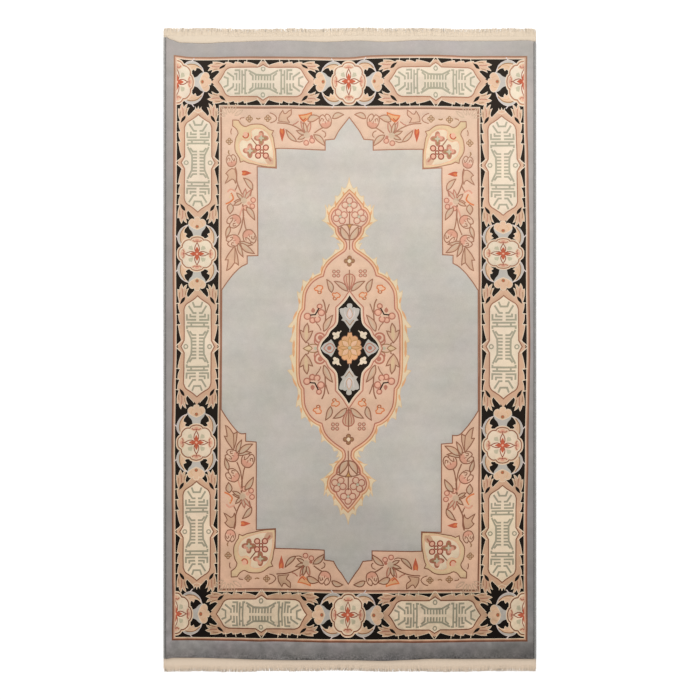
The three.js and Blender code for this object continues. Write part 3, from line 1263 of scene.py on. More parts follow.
class Shell:
    """A mesh in the making, in millimetres: points, faces, a dye and a flat map place for each corner."""

    def __init__(self) -> None:
        """Start an empty mesh."""
        self.points: list[Triple] = []
        self.faces: list[tuple[int, ...]] = []
        self.dyes: list[list[Triple]] = []
        self.maps: list[tuple[Pair, ...]] = []

    def add(self, *points: Triple) -> range:
        """Add points and return their numbers."""
        start = len(self.points)
        self.points += points
        return range(start, len(self.points))

    def face(self, corners: tuple[int, ...], dye: Triple | list[Triple], flat: Callable | tuple) -> None:
        """Add a face.

        Args:
            corners: numbers of its points, anticlockwise from outside.
            dye: its linear colour, or a list with one for each corner.
            flat: gives the flat map place of a point, or holds the places of its corners.
        """
        places = flat if isinstance(flat, tuple) else tuple(flat(self.points[corner]) for corner in corners)
        self.faces.append(corners)
        self.dyes.append(dye if isinstance(dye, list) else [dye] * len(corners))
        self.maps.append(places)

    def tube(self, rings: list[range], dyes: list[Triple], flat: Callable) -> None:
        """Close a tube over rings of points that run anticlockwise as seen from its start's far side.

        Args:
            rings: numbers of the points of each ring.
            dyes: linear colour of each stretch between rings.
            flat: gives the flat map place of a point.
        """
        count = len(rings[0])
        for low, high, dye in zip(rings, rings[1:], dyes):
            for i in range(count):
                j = (i + 1) % count
                self.face((low[i], low[j], high[j], high[i]), dye, flat)
        self.face(tuple(reversed(rings[0])), dyes[0], flat)
        self.face(tuple(rings[-1]), dyes[-1], flat)

    def build(self, name: str) -> bpy.types.Object:
        """Make the Blender object.

        Args:
            name: of the object and its mesh.

        Returns:
            The object, shaded smooth, at the origin, in metres.
        """
        mesh = bpy.data.meshes.new(name)
        mesh.from_pydata([tuple(MM * value for value in point) for point in self.points], [], self.faces)
        dyes = np.array([dye for face in self.dyes for dye in face], dtype=np.float32)
        colours = np.ones((len(dyes), 4), dtype=np.float32)
        colours[:, :3] = dyes
        mesh.color_attributes.new("dye", "FLOAT_COLOR", "CORNER").data.foreach_set("color", colours.ravel())
        places = np.array([place for face in self.maps for place in face], dtype=np.float32)
        mesh.uv_layers.new(name="OFBake").data.foreach_set("uv", places.ravel())
        mesh.polygons.foreach_set("use_smooth", np.ones(len(self.faces), dtype=bool))
        mesh.validate()
        mesh.update()
        piece = bpy.data.objects.new(name, mesh)
        bpy.context.scene.collection.objects.link(piece)
        return piece


@dataclass
class Net:
    """A triangle net over the top of the pile."""

    points: list[Vector]
    corners: np.ndarray  # numbers of each triangle's three points
    tops: np.ndarray  # the patch that shows on it, or -1 on the plain ground
    rim: list[int]  # numbers of the points on the rim
    grooves: list[tuple[int, int, set[int]]]  # ends of each stretch of groove, and its patches

    def borders(self, chart: Chart) -> np.ndarray:
        """Return the edges between triangles of different dyes, as pairs of points."""
        kinds = list(Dye)
        dyes = np.array([kinds.index(patch.dye) for patch in chart.patches] + [kinds.index(Dye.BAND)])
        sides = np.sort(np.concatenate([self.corners[:, pair] for pair in ((0, 1), (1, 2), (2, 0))]), axis=1)
        order = np.lexsort((sides[:, 1], sides[:, 0]))
        sides, tints = sides[order], np.tile(dyes[self.tops], 3)[order]
        shared = (sides[1:] == sides[:-1]).all(axis=1)
        return sides[:-1][shared & (tints[1:] != tints[:-1])]

    def open_grooves(self) -> list[tuple[int, int, set[int]]]:
        """Return the stretches of groove that no other patch covers."""
        around: dict[int, set[int]] = {end: set() for groove in self.grooves for end in groove[:2]}
        for corner, patch in zip(self.corners.tolist(), self.tops.tolist()):
            for point in corner:
                if point in around:
                    around[point].add(patch)
        shown = ((a, b, patches & around[a] & around[b]) for a, b, patches in self.grooves)
        return [groove for groove in shown if groove[2]]


@dataclass(frozen=True)
class Pile:
    """The knotted wool pile: a flat slab with a rounded rim and a top carved along the pattern's lines."""

    node: str = "pile"
    step: float = 9.5  # between points round the rim, mm
    grid: float = 23.0  # between points of plain areas
    span: float = 1290.0  # half of the side of their grid
    stray: float = 3.0  # how far such a point may lie off the grid
    clear: float = 8.0  # free space around such a point
    corner: complex = 735 + 1245j  # of the area that they fill
    join: float = 0.002  # points nearer than this are made one
    snap: int = 16  # charted points lie on a grid of this many lines a millimetre
    level: float = 12.75  # mean height of the top, mm
    sheet_half: float = 1300.0  # half of the flat map's side
    sheet_left: float = 790.0  # from its left edge to the middle of the top
    back_scale: float = 0.56  # of the underside's map
    back_start: float = 0.62  # share of the map's width where it starts
    back_left: float = 775.0  # from there to its middle, before scaling

    def rings(self) -> list[list[Vector]]:
        """Return the rim's level rings of the CAD node, from the floor up, each with the same points."""
        vertices = frame["nodes"][self.node].data.vertices
        points = {tuple(round(value / MM, 2) for value in vertex.co) for vertex in vertices}
        rings = []
        for height in sorted({point[2] for point in points}):
            near = sorted(point for point in points if point[2] == height and point[1] < 0)
            far = sorted((point for point in points if point[2] == height and point[1] > 0), reverse=True)
            rings.append([Vector(point) for point in near + far])
        outer = rings[1]
        sides = zip(outer, outer[1:] + outer[:1])
        counts = [math.ceil((after - point).length / self.step) for point, after in sides]
        return [
            [
                point.lerp(after, k / count)
                for point, after, count in zip(ring, ring[1:] + ring[:1], counts)
                for k in range(count)
            ]
            for ring in rings
        ]

    def snapped(self, x: float, y: float) -> Vector:
        """Return a point moved to the fine grid."""
        return Vector((round(x * self.snap) / self.snap, round(y * self.snap) / self.snap))

    def net(self, chart: Chart, rim: list[Vector]) -> Net:
        """Triangulate the top so that its edges follow every line of the chart that shows.

        Args:
            chart: the pattern, already settled on the rug.
            rim: the outline of the top.

        Returns:
            The net.
        """
        points = [self.snapped(point.x, point.y) for point in rim]
        border = [(i, (i + 1) % len(rim)) for i in range(len(rim))]
        edges = list(border)
        owners: dict[int, set[int]] = {}
        for number, patch in enumerate(chart.patches):
            for path in patch.loops:
                start = len(points)
                points += [self.snapped(point.real, point.imag) for point in path]
                edges += [(start + i, start + (i + 1) % len(path)) for i in range(len(path))]
            start = len(points)
            points += [self.snapped(point.real, point.imag) for point in patch.groove]
            for i in range(start, len(points) - 1):
                owners[len(edges)] = {number}
                edges.append((i, i + 1))
        whole = self.spun(chart, len(rim), points, edges, owners)

        numbers = {number: i for i, number in enumerate(whole.rim)}
        points = [whole.points[number] for number in whole.rim]
        edges, owners = list(border), {}
        plain = [(*pair, None) for pair in whole.borders(chart).tolist()]
        for start, end, patches in plain + whole.open_grooves():
            for number in (start, end):
                if number not in numbers:
                    numbers[number] = len(points)
                    points.append(whole.points[number])
            if patches:
                owners[len(edges)] = patches
            edges.append((numbers[start], numbers[end]))
        points += self.scattered(points)
        return self.spun(chart, len(rim), points, edges, owners)

    def scattered(self, points: list[Vector]) -> list[Vector]:
        """Return points for the plain areas, clear of the points of the lines."""
        near = {(round(point.x / self.clear), round(point.y / self.clear)) for point in points}
        dice = random.Random(SEED)
        rows = int(self.span / self.grid)
        found = []
        for i in range(-rows, rows + 1):
            for j in range(-rows, rows + 1):
                x = (j + 0.5 * (i % 2)) * self.grid + dice.uniform(-self.stray, self.stray)
                y = i * self.grid + dice.uniform(-self.stray, self.stray)
                spot = (round(x / self.clear), round(y / self.clear))
                taken = any((spot[0] + a, spot[1] + b) in near for a in (-1, 0, 1) for b in (-1, 0, 1))
                if abs(x) < self.corner.real and abs(y) < self.corner.imag and not taken:
                    found.append(self.snapped(x, y))
        return found

    def spun(
        self, chart: Chart, count: int, points: list[Vector], edges: list, owners: dict[int, set[int]]
    ) -> Net:
        """Triangulate points and edges, and find what shows on each triangle.

        Args:
            chart: the pattern.
            count: how many of the points are the rim's. They come first.
            points: the points.
            edges: pairs of points that the triangles' edges have to follow.
            owners: for each edge that is a stretch of groove, the patches that it carves.

        Returns:
            The net, without what lies outside the rim.
        """
        result = geometry.delaunay_2d_cdt(points, edges, [], 0, self.join, True)
        flat, lines, faces, old, old_lines, _ = result
        numbers = {source: i for i, sources in enumerate(old) for source in sources}
        corners = np.array([face for face in faces if len(face) == 3])
        centres = np.array([tuple(point) for point in flat])[corners].mean(axis=1)
        outline = Chart()
        outline.fill([at(point.x, point.y) for point in points[:count]], Dye.BAND)
        inside = self.painted(outline, centres) == 0
        grooves = []
        for (start, end), sources in zip(lines, old_lines):
            patches = set().union(*(owners[source] for source in sources if source in owners))
            if patches:
                grooves.append((start, end, patches))
        tops = self.painted(chart, centres[inside])
        log.info("net: %d points, %d triangles", len(flat), len(tops))
        return Net(flat, corners[inside], tops, [numbers[i] for i in range(count)], grooves)

    @staticmethod
    def painted(chart: Chart, centres: np.ndarray) -> np.ndarray:
        """Find the topmost patch at each place, by counting how often its loops wind round the place.

        Args:
            chart: the pattern.
            centres: one row of x and y for each place.

        Returns:
            The patch's number at each place, or -1 on the plain ground.
        """
        order = np.argsort(centres[:, 1], kind="stable")
        x, y = centres[order, 0], centres[order, 1]
        top = np.full(len(x), -1)
        for number, patch in enumerate(chart.patches):
            heights = [point.imag for path in patch.loops for point in path]
            first, last = np.searchsorted(y, (min(heights), max(heights)))
            turns = np.zeros(last - first, dtype=np.int32)
            for path in patch.loops:
                for start, end in zip(path, path[1:] + path[:1]):
                    if start.imag == end.imag:
                        continue
                    low, high = (start, end) if start.imag < end.imag else (end, start)
                    a, b = np.searchsorted(y, (low.imag, high.imag))
                    if a == b:
                        continue
                    cut = low.real + (y[a:b] - low.imag) * ((high.real - low.real) / (high.imag - low.imag))
                    turns[a - first : b - first] += (x[a:b] < cut) * (1 if start.imag < end.imag else -1)
            top[first:last][turns != 0] = number
        found = np.empty_like(top)
        found[order] = top
        return found

    def build(self, chart: Chart) -> bpy.types.Object:
        """Make the pile.

        Args:
            chart: the pattern, as drawn.

        Returns:
            The finished object.
        """
        woven = Chart()
        woven.add(chart, settled)
        rings = self.rings()
        count = len(rings[0])
        net = self.net(woven, rings[-1])
        sunk = {end for groove in net.open_grooves() for end in groove[:2]}
        shell = Shell()
        shell.add(*((point.x, point.y, self.height(point, i in sunk)) for i, point in enumerate(net.points)))
        for number in net.rim:
            x, y, _ = shell.points[number]
            shell.points[number] = (x, y, rings[-1][0].z)
        dyes = [patch.dye for patch in woven.patches] + [Dye.BAND]
        for corner, patch in zip(net.corners.tolist(), net.tops.tolist()):
            # Each corner gets its dye with the painted shade of its place.
            shell.face(tuple(corner), [shaded_colour(dyes[patch], *net.points[i]) for i in corner], self.flat)
        loops = [shell.add(*(tuple(point) for point in ring)) for ring in rings[:-1]]
        loops.append(net.rim)
        reach = 0.0
        for level in range(len(rings) - 1, 0, -1):
            low, high = loops[level - 1], loops[level]
            for i in range(count):
                j = (i + 1) % count
                # The rim gets the outer band's dye with its painted shade.
                rim = [shaded_colour(Dye.BAND, *rings[level][k].xy) for k in (i, j, j, i)]
                places = self.unrolled(rings, level, (i, j), reach)
                shell.face((low[i], low[j], high[j], high[i]), rim, places)
            reach += (rings[level][0] - rings[level - 1][0]).length
        back = DYES[Dye.BACK]
        for corner in geometry.tessellate_polygon([[Vector((point.x, point.y, 0)) for point in rings[0]]]):
            a, b, c = (loops[0][i] for i in corner)
            p, q, r = (rings[0][i].xy for i in corner)
            turned = (q - p).cross(r - p) > 0
            shell.face((a, c, b) if turned else (a, b, c), back, self.flat_back)
        return shell.build("wool_pile")

    def height(self, point: Vector, sunk: bool) -> float:
        """Return how high the slightly uneven pile stands at a point of its top, mm."""
        place = Vector((point.x / 60, point.y / 60, 2.5))
        tall = self.level + 0.3 * noise.noise(place) + 0.2 * noise.noise(place * 6)
        return tall - (GROOVE if sunk else 0)

    def flat(self, point: Triple) -> Pair:
        """Return the flat map place of a point of the top."""
        side = 2 * self.sheet_half
        return (point[0] + self.sheet_left) / side, (point[1] + self.sheet_half) / side

    def flat_back(self, point: Triple) -> Pair:
        """Return the flat map place of a point of the underside."""
        side = 2 * self.sheet_half / self.back_scale
        return self.back_start + (point[0] + self.back_left) / side, (point[1] + self.sheet_half) / side

    def unrolled(
        self, rings: list[list[Vector]], level: int, pair: tuple[int, int], reach: float
    ) -> tuple[Pair, ...]:
        """Return the flat map places of a face of the rim, laid out beyond the top's edge.

        Args:
            rings: the rim's rings.
            level: number of the face's upper ring.
            pair: numbers of its two columns.
            reach: how far the upper ring already lies beyond the top's edge, mm.

        Returns:
            A place for each corner.
        """
        depth = (rings[level][0] - rings[level - 1][0]).length
        places = []
        for column, far in ((pair[0], depth), (pair[1], depth), (pair[1], 0.0), (pair[0], 0.0)):
            point = rings[-1][column]
            after, before = rings[-1][(column + 1) % len(rings[-1])], rings[-1][column - 1]
            along = (after - before).normalized()
            shifted = point + Vector((along.y, -along.x, 0)) * (reach + far)
            places.append(self.flat((shifted.x, shifted.y, 0)))
        return tuple(places)


@dataclass
class SideCord:
    """A long side's edge, wrapped all the way with wool yarn."""

    side: int  # -1 on the left, 1 on the right
    pitch: float = 3.3  # of the wraps, mm
    slant: float = 1.4  # how far a wrap runs on across the edge
    inset: float = 1.6  # from the node's ends to the outermost wraps
    sides: int = 10
    profile: tuple[Pair, ...] = ((0.0, 0.86), (0.3, 1.0), (0.7, 1.0))  # places on a wrap, and its girth
    uneven: float = 0.025  # most that a wrap's girth differs
    mottled: float = 0.12  # most that its shade differs
    strips: int = 12  # of its flat map
    overlap: float = 6.0  # of the strips, mm

    def wound(self, shell: Shell, low: Vector, high: Vector) -> tuple[list[range], list[Triple]]:
        """Add the rings of points of all wraps.

        Args:
            shell: the mesh to add them to.
            low: low corner of the CAD node's box, m.
            high: its high corner.

        Returns:
            The numbers of each ring's points, and the colour from each ring on.
        """
        near, far = low[1] / MM + self.inset, high[1] / MM - self.inset
        middle = (low[0] + high[0]) / 2 / MM
        half = (high[0] - low[0]) / 2 / MM
        tall = high[2] / MM
        wraps = round((far - near) / self.pitch)
        dice = random.Random(SEED + self.side)
        rings, dyes = [], []
        for wrap in range(wraps):
            girth = 1 + dice.uniform(-self.uneven, self.uneven)
            tone = linear(Dye.EDGING, 1 + dice.uniform(-self.mottled, self.mottled))
            for share, swell in self.profile:
                y = near + (far - near) * (wrap + share) / wraps
                ring = []
                for i in range(self.sides):
                    turn = math.tau * (i + 0.5) / self.sides - math.pi / 2
                    across, up = math.cos(turn) * swell * girth, math.sin(turn) * swell * girth
                    z = max(0.0, (tall * 0.98 + tall * 1.06 * up) / 2)
                    ring.append((middle + half * across, y - self.slant * math.cos(turn), z))
                rings.append(shell.add(*ring))
                dyes.append(tone)
        return rings, dyes

    def flat(self, point: Triple, near: float, far: float, strip: int, turn: float) -> Pair:
        """Return the flat map place of a point.

        Args:
            point: the point.
            near: where the wraps start along the rug, mm.
            far: where they end.
            strip: number of its strip of the map.
            turn: its share of the way round.

        Returns:
            The place.
        """
        span = (far - near) / self.strips + self.overlap
        along = (point[1] - near - strip * (span - self.overlap) + self.overlap / 2) / span
        return 0.01 + 0.98 * along, (strip + 0.06 + 0.88 * turn) / self.strips

    def build(self) -> bpy.types.Object:
        """Make the cord in the place of its CAD node."""
        node = "side_cord_left" if self.side < 0 else "side_cord_right"
        low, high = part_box(node)
        near, far = low[1] / MM + self.inset, high[1] / MM - self.inset
        shell = Shell()
        rings, dyes = self.wound(shell, low, high)
        for number, (first, second, dye) in enumerate(zip(rings, rings[1:], dyes)):
            strip = min(self.strips - 1, int(self.strips * number / len(rings)))
            for i in range(self.sides):
                j = (i + 1) % self.sides
                corners = (first[i], second[i], second[j], first[j])
                turned = zip(corners, (i, i, i + 1, i + 1))
                places = (self.flat(shell.points[c], near, far, strip, k / self.sides) for c, k in turned)
                shell.face(corners, dye, tuple(places))
        for ring, strip in ((rings[0], 0), (rings[-1][::-1], self.strips - 1)):
            places = (self.flat(shell.points[c], near, far, strip, 0.5) for c in ring)
            shell.face(tuple(ring), dyes[0], tuple(places))
        piece = shell.build(f"side_edge_{'left' if self.side < 0 else 'right'}")
        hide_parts(node)
        return piece


@dataclass
class Fringe:
    """One end's flat-woven cotton web and the warp ends that hang out of it."""

    end: int  # 1 at the far end, -1 at the near one
    dye: Dye
    inner: list[Pair]  # the pile's end line, from left to right
    half_width: float = 760.0
    half_length: float = 1260.0
    gap: float = 0.3  # between the pile and the web, mm
    web: float = 27.0  # width of the web
    thick: float = 3.2
    strands: int = 108
    edge: float = 7.0  # from the web's sides to the outermost strands
    root: float = 4.0  # how far a strand is set into the web
    length: float = 31.0
    stray: float = 2.2  # how unevenly the strands' tips lie
    corner: float = 40.0  # strands this near a corner lean in
    lean: float = 3.0  # how far the outermost ones do
    edge_waves: tuple[Pair, ...] = ((2, 880), (1.2, 295))  # height and length of the web's outer edge waves
    lean_waves: tuple[Pair, ...] = ((5, 565), (3, 195))  # the same for how the strands lean
    cropped: float = 0.0  # how much shorter its yarns are cut
    tip_shadow: float = 0.06  # share of its yarns with dark tips: painted shadow between the yarns
    yarns: int = 15  # drawn for each strand
    spread: float = 14.4  # of a strand's yarns
    pitch: float = 4.2  # of the web's warps
    picks: int = 7  # of its weft ridges
    ridge: float = 0.34  # height of a weft ridge
    crossing: float = 0.26  # height of a warp that crosses it
    steps: int = 7  # along a yarn
    sides: int = 5  # of a yarn
    bore: float = 0.95  # a yarn's radius at its root
    strips: int = 4  # of the flat map
    margin: float = 4.0  # of the map beside the web
    map_start: float = 12.0  # how far inside the pile's end the map begins
    map_depth: float = 95.0  # of a strip

    @staticmethod
    def waved(value: float, waves: tuple[Pair, ...], x: float, phase: float) -> float:
        """Return a value with the waves at x added to it."""
        for height, length in waves:
            value += height * math.sin(math.tau * x / length + phase)
        return value

    def hem(self, x: float) -> float:
        """Return how far from the middle the web ends at x."""
        return self.waved(self.half_length + self.web, self.edge_waves, x, self.end)

    @staticmethod
    def scatter(seed: float) -> float:
        """Return a number from 0 to 1 that looks random and is the same each time."""
        value = math.sin(seed * 12.9898 + 4.1414) * 43758.5453
        return value - math.floor(value)

    def flat(self, point: Triple) -> Pair:
        """Return the flat map place of a point, in one of the strips."""
        half = self.half_width + self.margin
        share = self.strips * (point[0] + half) / (2 * half)
        strip = min(self.strips - 1, int(share))
        out = (abs(point[1]) - self.half_length + self.map_start) / self.map_depth
        return share - strip, (strip + out) / self.strips

    def weave(self, shell: Shell) -> None:
        """Add the web, with its weft ridges and the warps that cross them."""
        columns = round(2 * self.half_width / self.pitch)
        rows = 2 * self.picks
        xs, ys = zip(*self.inner)
        tone = DYES[self.dye]
        grid = []
        for i in range(columns + 1):
            x = -self.half_width + 2 * self.half_width * i / columns
            start = float(np.interp(x, xs, ys)) + self.gap
            end = self.hem(x)
            line = [(x, self.end * start, 0.0), (x, self.end * start, self.thick * 0.55)]
            for row in range(1, rows):
                lift = self.ridge * math.cos(math.pi * row)
                lift += self.crossing * math.cos(math.pi * (i + row // 2))
                wander = 0.25 * noise.noise(Vector((x / 9, row * 0.7, self.end)))
                y = start + (end - start) * row / rows
                line.append((x, self.end * y, self.thick - 0.65 - lift + wander))
            line += [(x, self.end * end, self.thick * 0.5), (x, self.end * end, 0.0)]
            grid.append(shell.add(*line))
        for i, (left, right) in enumerate(zip(grid, grid[1:])):
            for k in range(len(left)):
                m = (k + 1) % len(left)
                quad = (left[k], right[k], right[m], left[m])
                shade = 1 - 0.07 * ((i + k // 2) % 2) + 0.06 * (self.scatter(i * 7.3 + k) - 0.5)
                dye = tuple(shade * part for part in tone)
                shell.face(quad if self.end > 0 else quad[::-1], dye, self.flat)
        for side in (tuple(grid[0]), tuple(grid[-1])[::-1]):
            shell.face(side if self.end > 0 else side[::-1], tone, self.flat)

    def hang(self, shell: Shell) -> None:
        """Add the loose warp ends: a few fine yarns, uneven in length, for each strand of the CAD node."""
        reach = self.half_width - self.edge
        for number in range(self.strands):
            x = 2 * reach * number / (self.strands - 1) - reach
            start = self.hem(x)
            length = self.length * (0.93 + 0.1 * self.scatter(number + 300 * self.end))
            stray = self.stray * (self.scatter(number * 3 + 50 * self.end) - 0.5)
            inward = max(0.0, abs(x) - self.half_width + self.corner) / self.corner * self.lean
            sway = self.waved(0.0, self.lean_waves, x, 2 * self.end)
            tip = x + sway + stray - math.copysign(inward, x)
            for yarn in range(self.yarns):
                seed = number * 31 + yarn * 7
                luck = [self.scatter(seed + k * 3.7 + 90 * self.end) for k in range(6)]
                out = self.spread * ((yarn + 0.5) / self.yarns - 0.5)
                end = at(tip + 1.15 * out + 5 * (luck[1] - 0.5), start)
                end += 1j * (length * (0.86 + 0.1 * luck[0]) - self.cropped)
                self.yarn(shell, at(x + out, start), end, luck)

    def yarn(self, shell: Shell, start: complex, tip: complex, luck: list[float]) -> None:
        """Add one loose yarn.

        Args:
            shell: the mesh to add it to.
            start: where it leaves the web, x and distance from the middle of the rug.
            tip: where it ends.
            luck: six numbers from 0 to 1 that make it differ from its neighbours.
        """
        shade = 0.9 + 0.2 * luck[2]
        # Dark tips on a few yarns paint the shadow between them.
        tip_shadow = 0.5 if luck[2] < self.tip_shadow else 1.0
        tones = [shade * (tip_shadow if k > 3 else 1.0) for k in range(self.steps + 1)]
        way = tip - start
        rings = []
        for k in range(self.steps + 1):
            t = k / self.steps
            x = start.real + way.real * t * t
            # It snakes, more so toward its tip, where it is also thinner and lies lower
            x += 0.8 * t * math.sin(6.3 * (1.3 * t + luck[3])) + 0.35 * math.sin(6.3 * (2.9 * t + luck[4]))
            y = start.imag - self.root + (way.imag + self.root) * t
            z = 1.15 + 0.9 * luck[5] * (1 - 0.4 * t)
            radius = self.bore - 0.25 * t**3
            ring = []
            for side in range(self.sides):
                out = cmath.rect(radius, math.tau * side / self.sides + 0.4 * k)
                ring.append((x + out.real, self.end * y, max(0.02, z + out.imag)))
            rings.append(shell.add(*ring))
        if self.end > 0:
            rings = [tuple(reversed(ring)) for ring in rings]
        shell.tube(rings, [tuple(tone * part for part in DYES[self.dye]) for tone in tones], self.flat)

    def build(self) -> bpy.types.Object:
        """Make the web and its yarns as one piece in the place of the CAD node."""
        shell = Shell()
        self.weave(shell)
        self.hang(shell)
        name = "far" if self.end > 0 else "near"
        piece = shell.build(f"cotton_fringe_{name}")
        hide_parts(f"fringe_{name}")
        return piece


@dataclass(frozen=True)
class Finish:
    """How a yarn looks: the size and depth of its grain, how the light falls on it, and the shade painted
    along the rug.
    """

    name: str
    tuft: float  # size of a tuft or strand, mm
    contrast: float  # of the shade between tufts
    depth: float  # of the bump, mm
    roughness: float
    light: Pair  # painted shade: share of the dye's light kept at the near and the far end, standing in for the light's falloff along the rug
    abrash: float = 0.0  # strength of the slow bands of shade across the rug


# Each light pair paints shade along the rug: wool and edging darker toward the near end, cotton toward the
# far end.
WOOL = Finish("wool_pile", 3.4, contrast=0.2, depth=0.9, roughness=0.95, light=(0.66, 0.83), abrash=0.05)
EDGE_WOOL = Finish("edge_wool", 1.3, contrast=0.2, depth=0.4, roughness=0.95, light=(0.52, 0.8))
COTTON = Finish("cotton_warp", 1.1, contrast=0.3, depth=0.3, roughness=0.9, light=(0.9, 0.78))

Socket = bpy.types.NodeSocket
Value = Socket | float


class Nodes:
    """Short calls for building a node tree."""

    def __init__(self, tree: bpy.types.NodeTree) -> None:
        """Keep the tree and clear it."""
        self.tree = tree
        tree.nodes.clear()

    def add(self, kind: str, inputs: dict | None = None, **settings: object) -> bpy.types.Node:
        """Add a node.

        Args:
            kind: its type, without the ShaderNode prefix.
            inputs: a number, colour or socket for each named or numbered input.
            settings: its properties.

        Returns:
            The node.
        """
        node = self.tree.nodes.new(kind if kind.startswith("Node") else f"ShaderNode{kind}")
        for name, value in settings.items():
            setattr(node, name, value)
        for name, value in (inputs or {}).items():
            if isinstance(value, Socket):
                self.tree.links.new(value, node.inputs[name])
            else:
                node.inputs[name].default_value = value
        return node

    def math(self, operation: str, *values: Value) -> Socket:
        """Add a Math node and return its output."""
        return self.add("Math", dict(enumerate(values)), operation=operation).outputs[0]

    def product(self, *values: Value) -> Socket:
        """Multiply values and return the result."""
        result = values[0]
        for value in values[1:]:
            result = self.math("MULTIPLY", result, value)
        return result

    def noise(self, place: Socket, scale: Value, detail: float) -> Socket:
        """Add a Noise Texture node and return its value."""
        return self.add("TexNoise", {"Vector": place, "Scale": scale, "Detail": detail}).outputs[0]

    def spread(self, value: Socket, low: float, high: float, to: Pair) -> Socket:
        """Map a value from low..high to a new range and return it."""
        inputs = {"Value": value, "From Min": low, "From Max": high, "To Min": to[0], "To Max": to[1]}
        return self.add("MapRange", inputs).outputs["Result"]

    def swing(self, value: Socket, middle: float, strength: Value) -> Socket:
        """Return how far a value lies from a middle, times a strength."""
        return self.product(self.math("SUBTRACT", value, middle), strength)

    def blend(self, first: Socket, second: Socket, share: float) -> Socket:
        """Return the mean of two values, with this share of the first."""
        return self.math("ADD", self.product(first, share), self.product(second, 1 - share))


def yarn_grain() -> bpy.types.NodeTree:
    """Make the node group for the grain of cut tufts and spun strands.

    Returns:
        The group: Vector, Frequency and Contrast in, Shade and Height out.
    """
    group = bpy.data.node_groups.new("yarn_grain", "ShaderNodeTree")
    for name, kind, way in (
        ("Vector", "NodeSocketVector", "INPUT"),
        ("Frequency", "NodeSocketFloat", "INPUT"),
        ("Contrast", "NodeSocketFloat", "INPUT"),
        ("Shade", "NodeSocketFloat", "OUTPUT"),
        ("Height", "NodeSocketFloat", "OUTPUT"),
    ):
        group.interface.new_socket(name=name, in_out=way, socket_type=kind)
    nodes = Nodes(group)
    source = nodes.add("NodeGroupInput").outputs
    place, often = source["Vector"], source["Frequency"]
    cells = {"Vector": place, "Scale": often, "Randomness": 0.8, "Smoothness": 0.4}
    tufts = nodes.add("TexVoronoi", cells, feature="SMOOTH_F1").outputs["Distance"]
    fibres = nodes.noise(place, nodes.product(often, 1.7), 3.0)
    patches = nodes.noise(place, nodes.product(often, 0.16), 2.0)
    height = nodes.blend(nodes.spread(tufts, 0.1, 0.75, (1.0, 0.0)), fibres, 0.6)
    swing = nodes.swing(nodes.blend(height, patches, 0.6), 0.5, source["Contrast"])
    nodes.add("NodeGroupOutput", {"Shade": nodes.math("ADD", 1.0, swing), "Height": height})
    return group


def weathering(nodes: Nodes, place: Socket, y: Socket, abrash: float) -> tuple[Socket, Socket]:
    """Add the wool's unevenness: slow bands, clouds, blots, and dark specks along the near end.

    Args:
        nodes: the tree to add it to.
        place: the place on the rug.
        y: the same along the rug alone.
        abrash: strength of the bands and clouds.

    Returns:
        What the shade and what the colour are multiplied by.
    """
    uneven = (1 - abrash, 1 + abrash)
    stretched = nodes.add("Mapping", {"Vector": place, "Scale": (0.9, 7.0, 1.0)}).outputs[0]
    bands = nodes.spread(nodes.noise(stretched, 1.6, 3.0), 0.3, 0.7, uneven)
    clouds = nodes.spread(nodes.noise(place, 4.5, 4.0), 0.3, 0.7, uneven)
    blots = nodes.swing(nodes.noise(place, 34.0, 3.0), 0.5, nodes.spread(y, -1.26, -0.8, (1.0, 0.14)))
    # Mostly dark specks in the last few centimetres of the pile at the near end.
    near = nodes.spread(y, -1.256, -1.225, (2.0, 0.0))
    near_specks = nodes.swing(nodes.noise(place, 150.0, 2.0), 0.6, near)
    spots = nodes.math("ADD", 1.0, nodes.math("ADD", blots, near_specks))
    cast = nodes.add("TexNoise", {"Vector": place, "Scale": 9.0, "Detail": 2.0}).outputs["Color"]
    tint = {0: cast, 1: (0.1, 0.05, 0.1), 2: (0.95, 0.975, 0.95)}
    tint = nodes.add("VectorMath", tint, operation="MULTIPLY_ADD").outputs[0]
    return nodes.product(bands, clouds, spots), tint


def yarn_material(finish: Finish, grain: bpy.types.NodeTree) -> bpy.types.Material:
    """Make the material of a yarn surface from its dye attribute.

    Args:
        finish: how the yarn looks.
        grain: the shared node group.

    Returns:
        The material.
    """
    material = bpy.data.materials.new(finish.name)
    material.use_nodes = True
    nodes = Nodes(material.node_tree)
    place = nodes.add("TexCoord").outputs["Object"]
    y = nodes.add("SeparateXYZ", {"Vector": place}).outputs["Y"]
    colour = nodes.add("VertexColor", layer_name="dye").outputs["Color"]
    texture = nodes.add("Group", node_tree=grain)
    nodes.tree.links.new(place, texture.inputs["Vector"])
    texture.inputs["Frequency"].default_value = 1 / (finish.tuft * MM)
    texture.inputs["Contrast"].default_value = finish.contrast
    # Painted shade: the colour dims along the rug between the finish's two light shares.
    shade = nodes.product(texture.outputs["Shade"], nodes.spread(y, -1.28, 1.28, finish.light))
    if finish.abrash:
        weather, tint = weathering(nodes, place, y, finish.abrash)
        shade = nodes.product(shade, weather)
        colour = nodes.add("VectorMath", {0: colour, 1: tint}, operation="MULTIPLY").outputs[0]
    colour = nodes.add("VectorMath", {0: colour, "Scale": shade}, operation="SCALE").outputs[0]
    relief = {"Height": texture.outputs["Height"], "Distance": finish.depth * MM, "Strength": 0.8}
    normal = nodes.add("Bump", relief).outputs[0]
    shader = nodes.add("BsdfPrincipled", {"Base Color": colour, "Normal": normal})
    shader.inputs["Roughness"].default_value = finish.roughness
    shader.inputs["Specular IOR Level"].default_value = 0.1
    nodes.add("OutputMaterial", {"Surface": shader.outputs[0]})
    return material


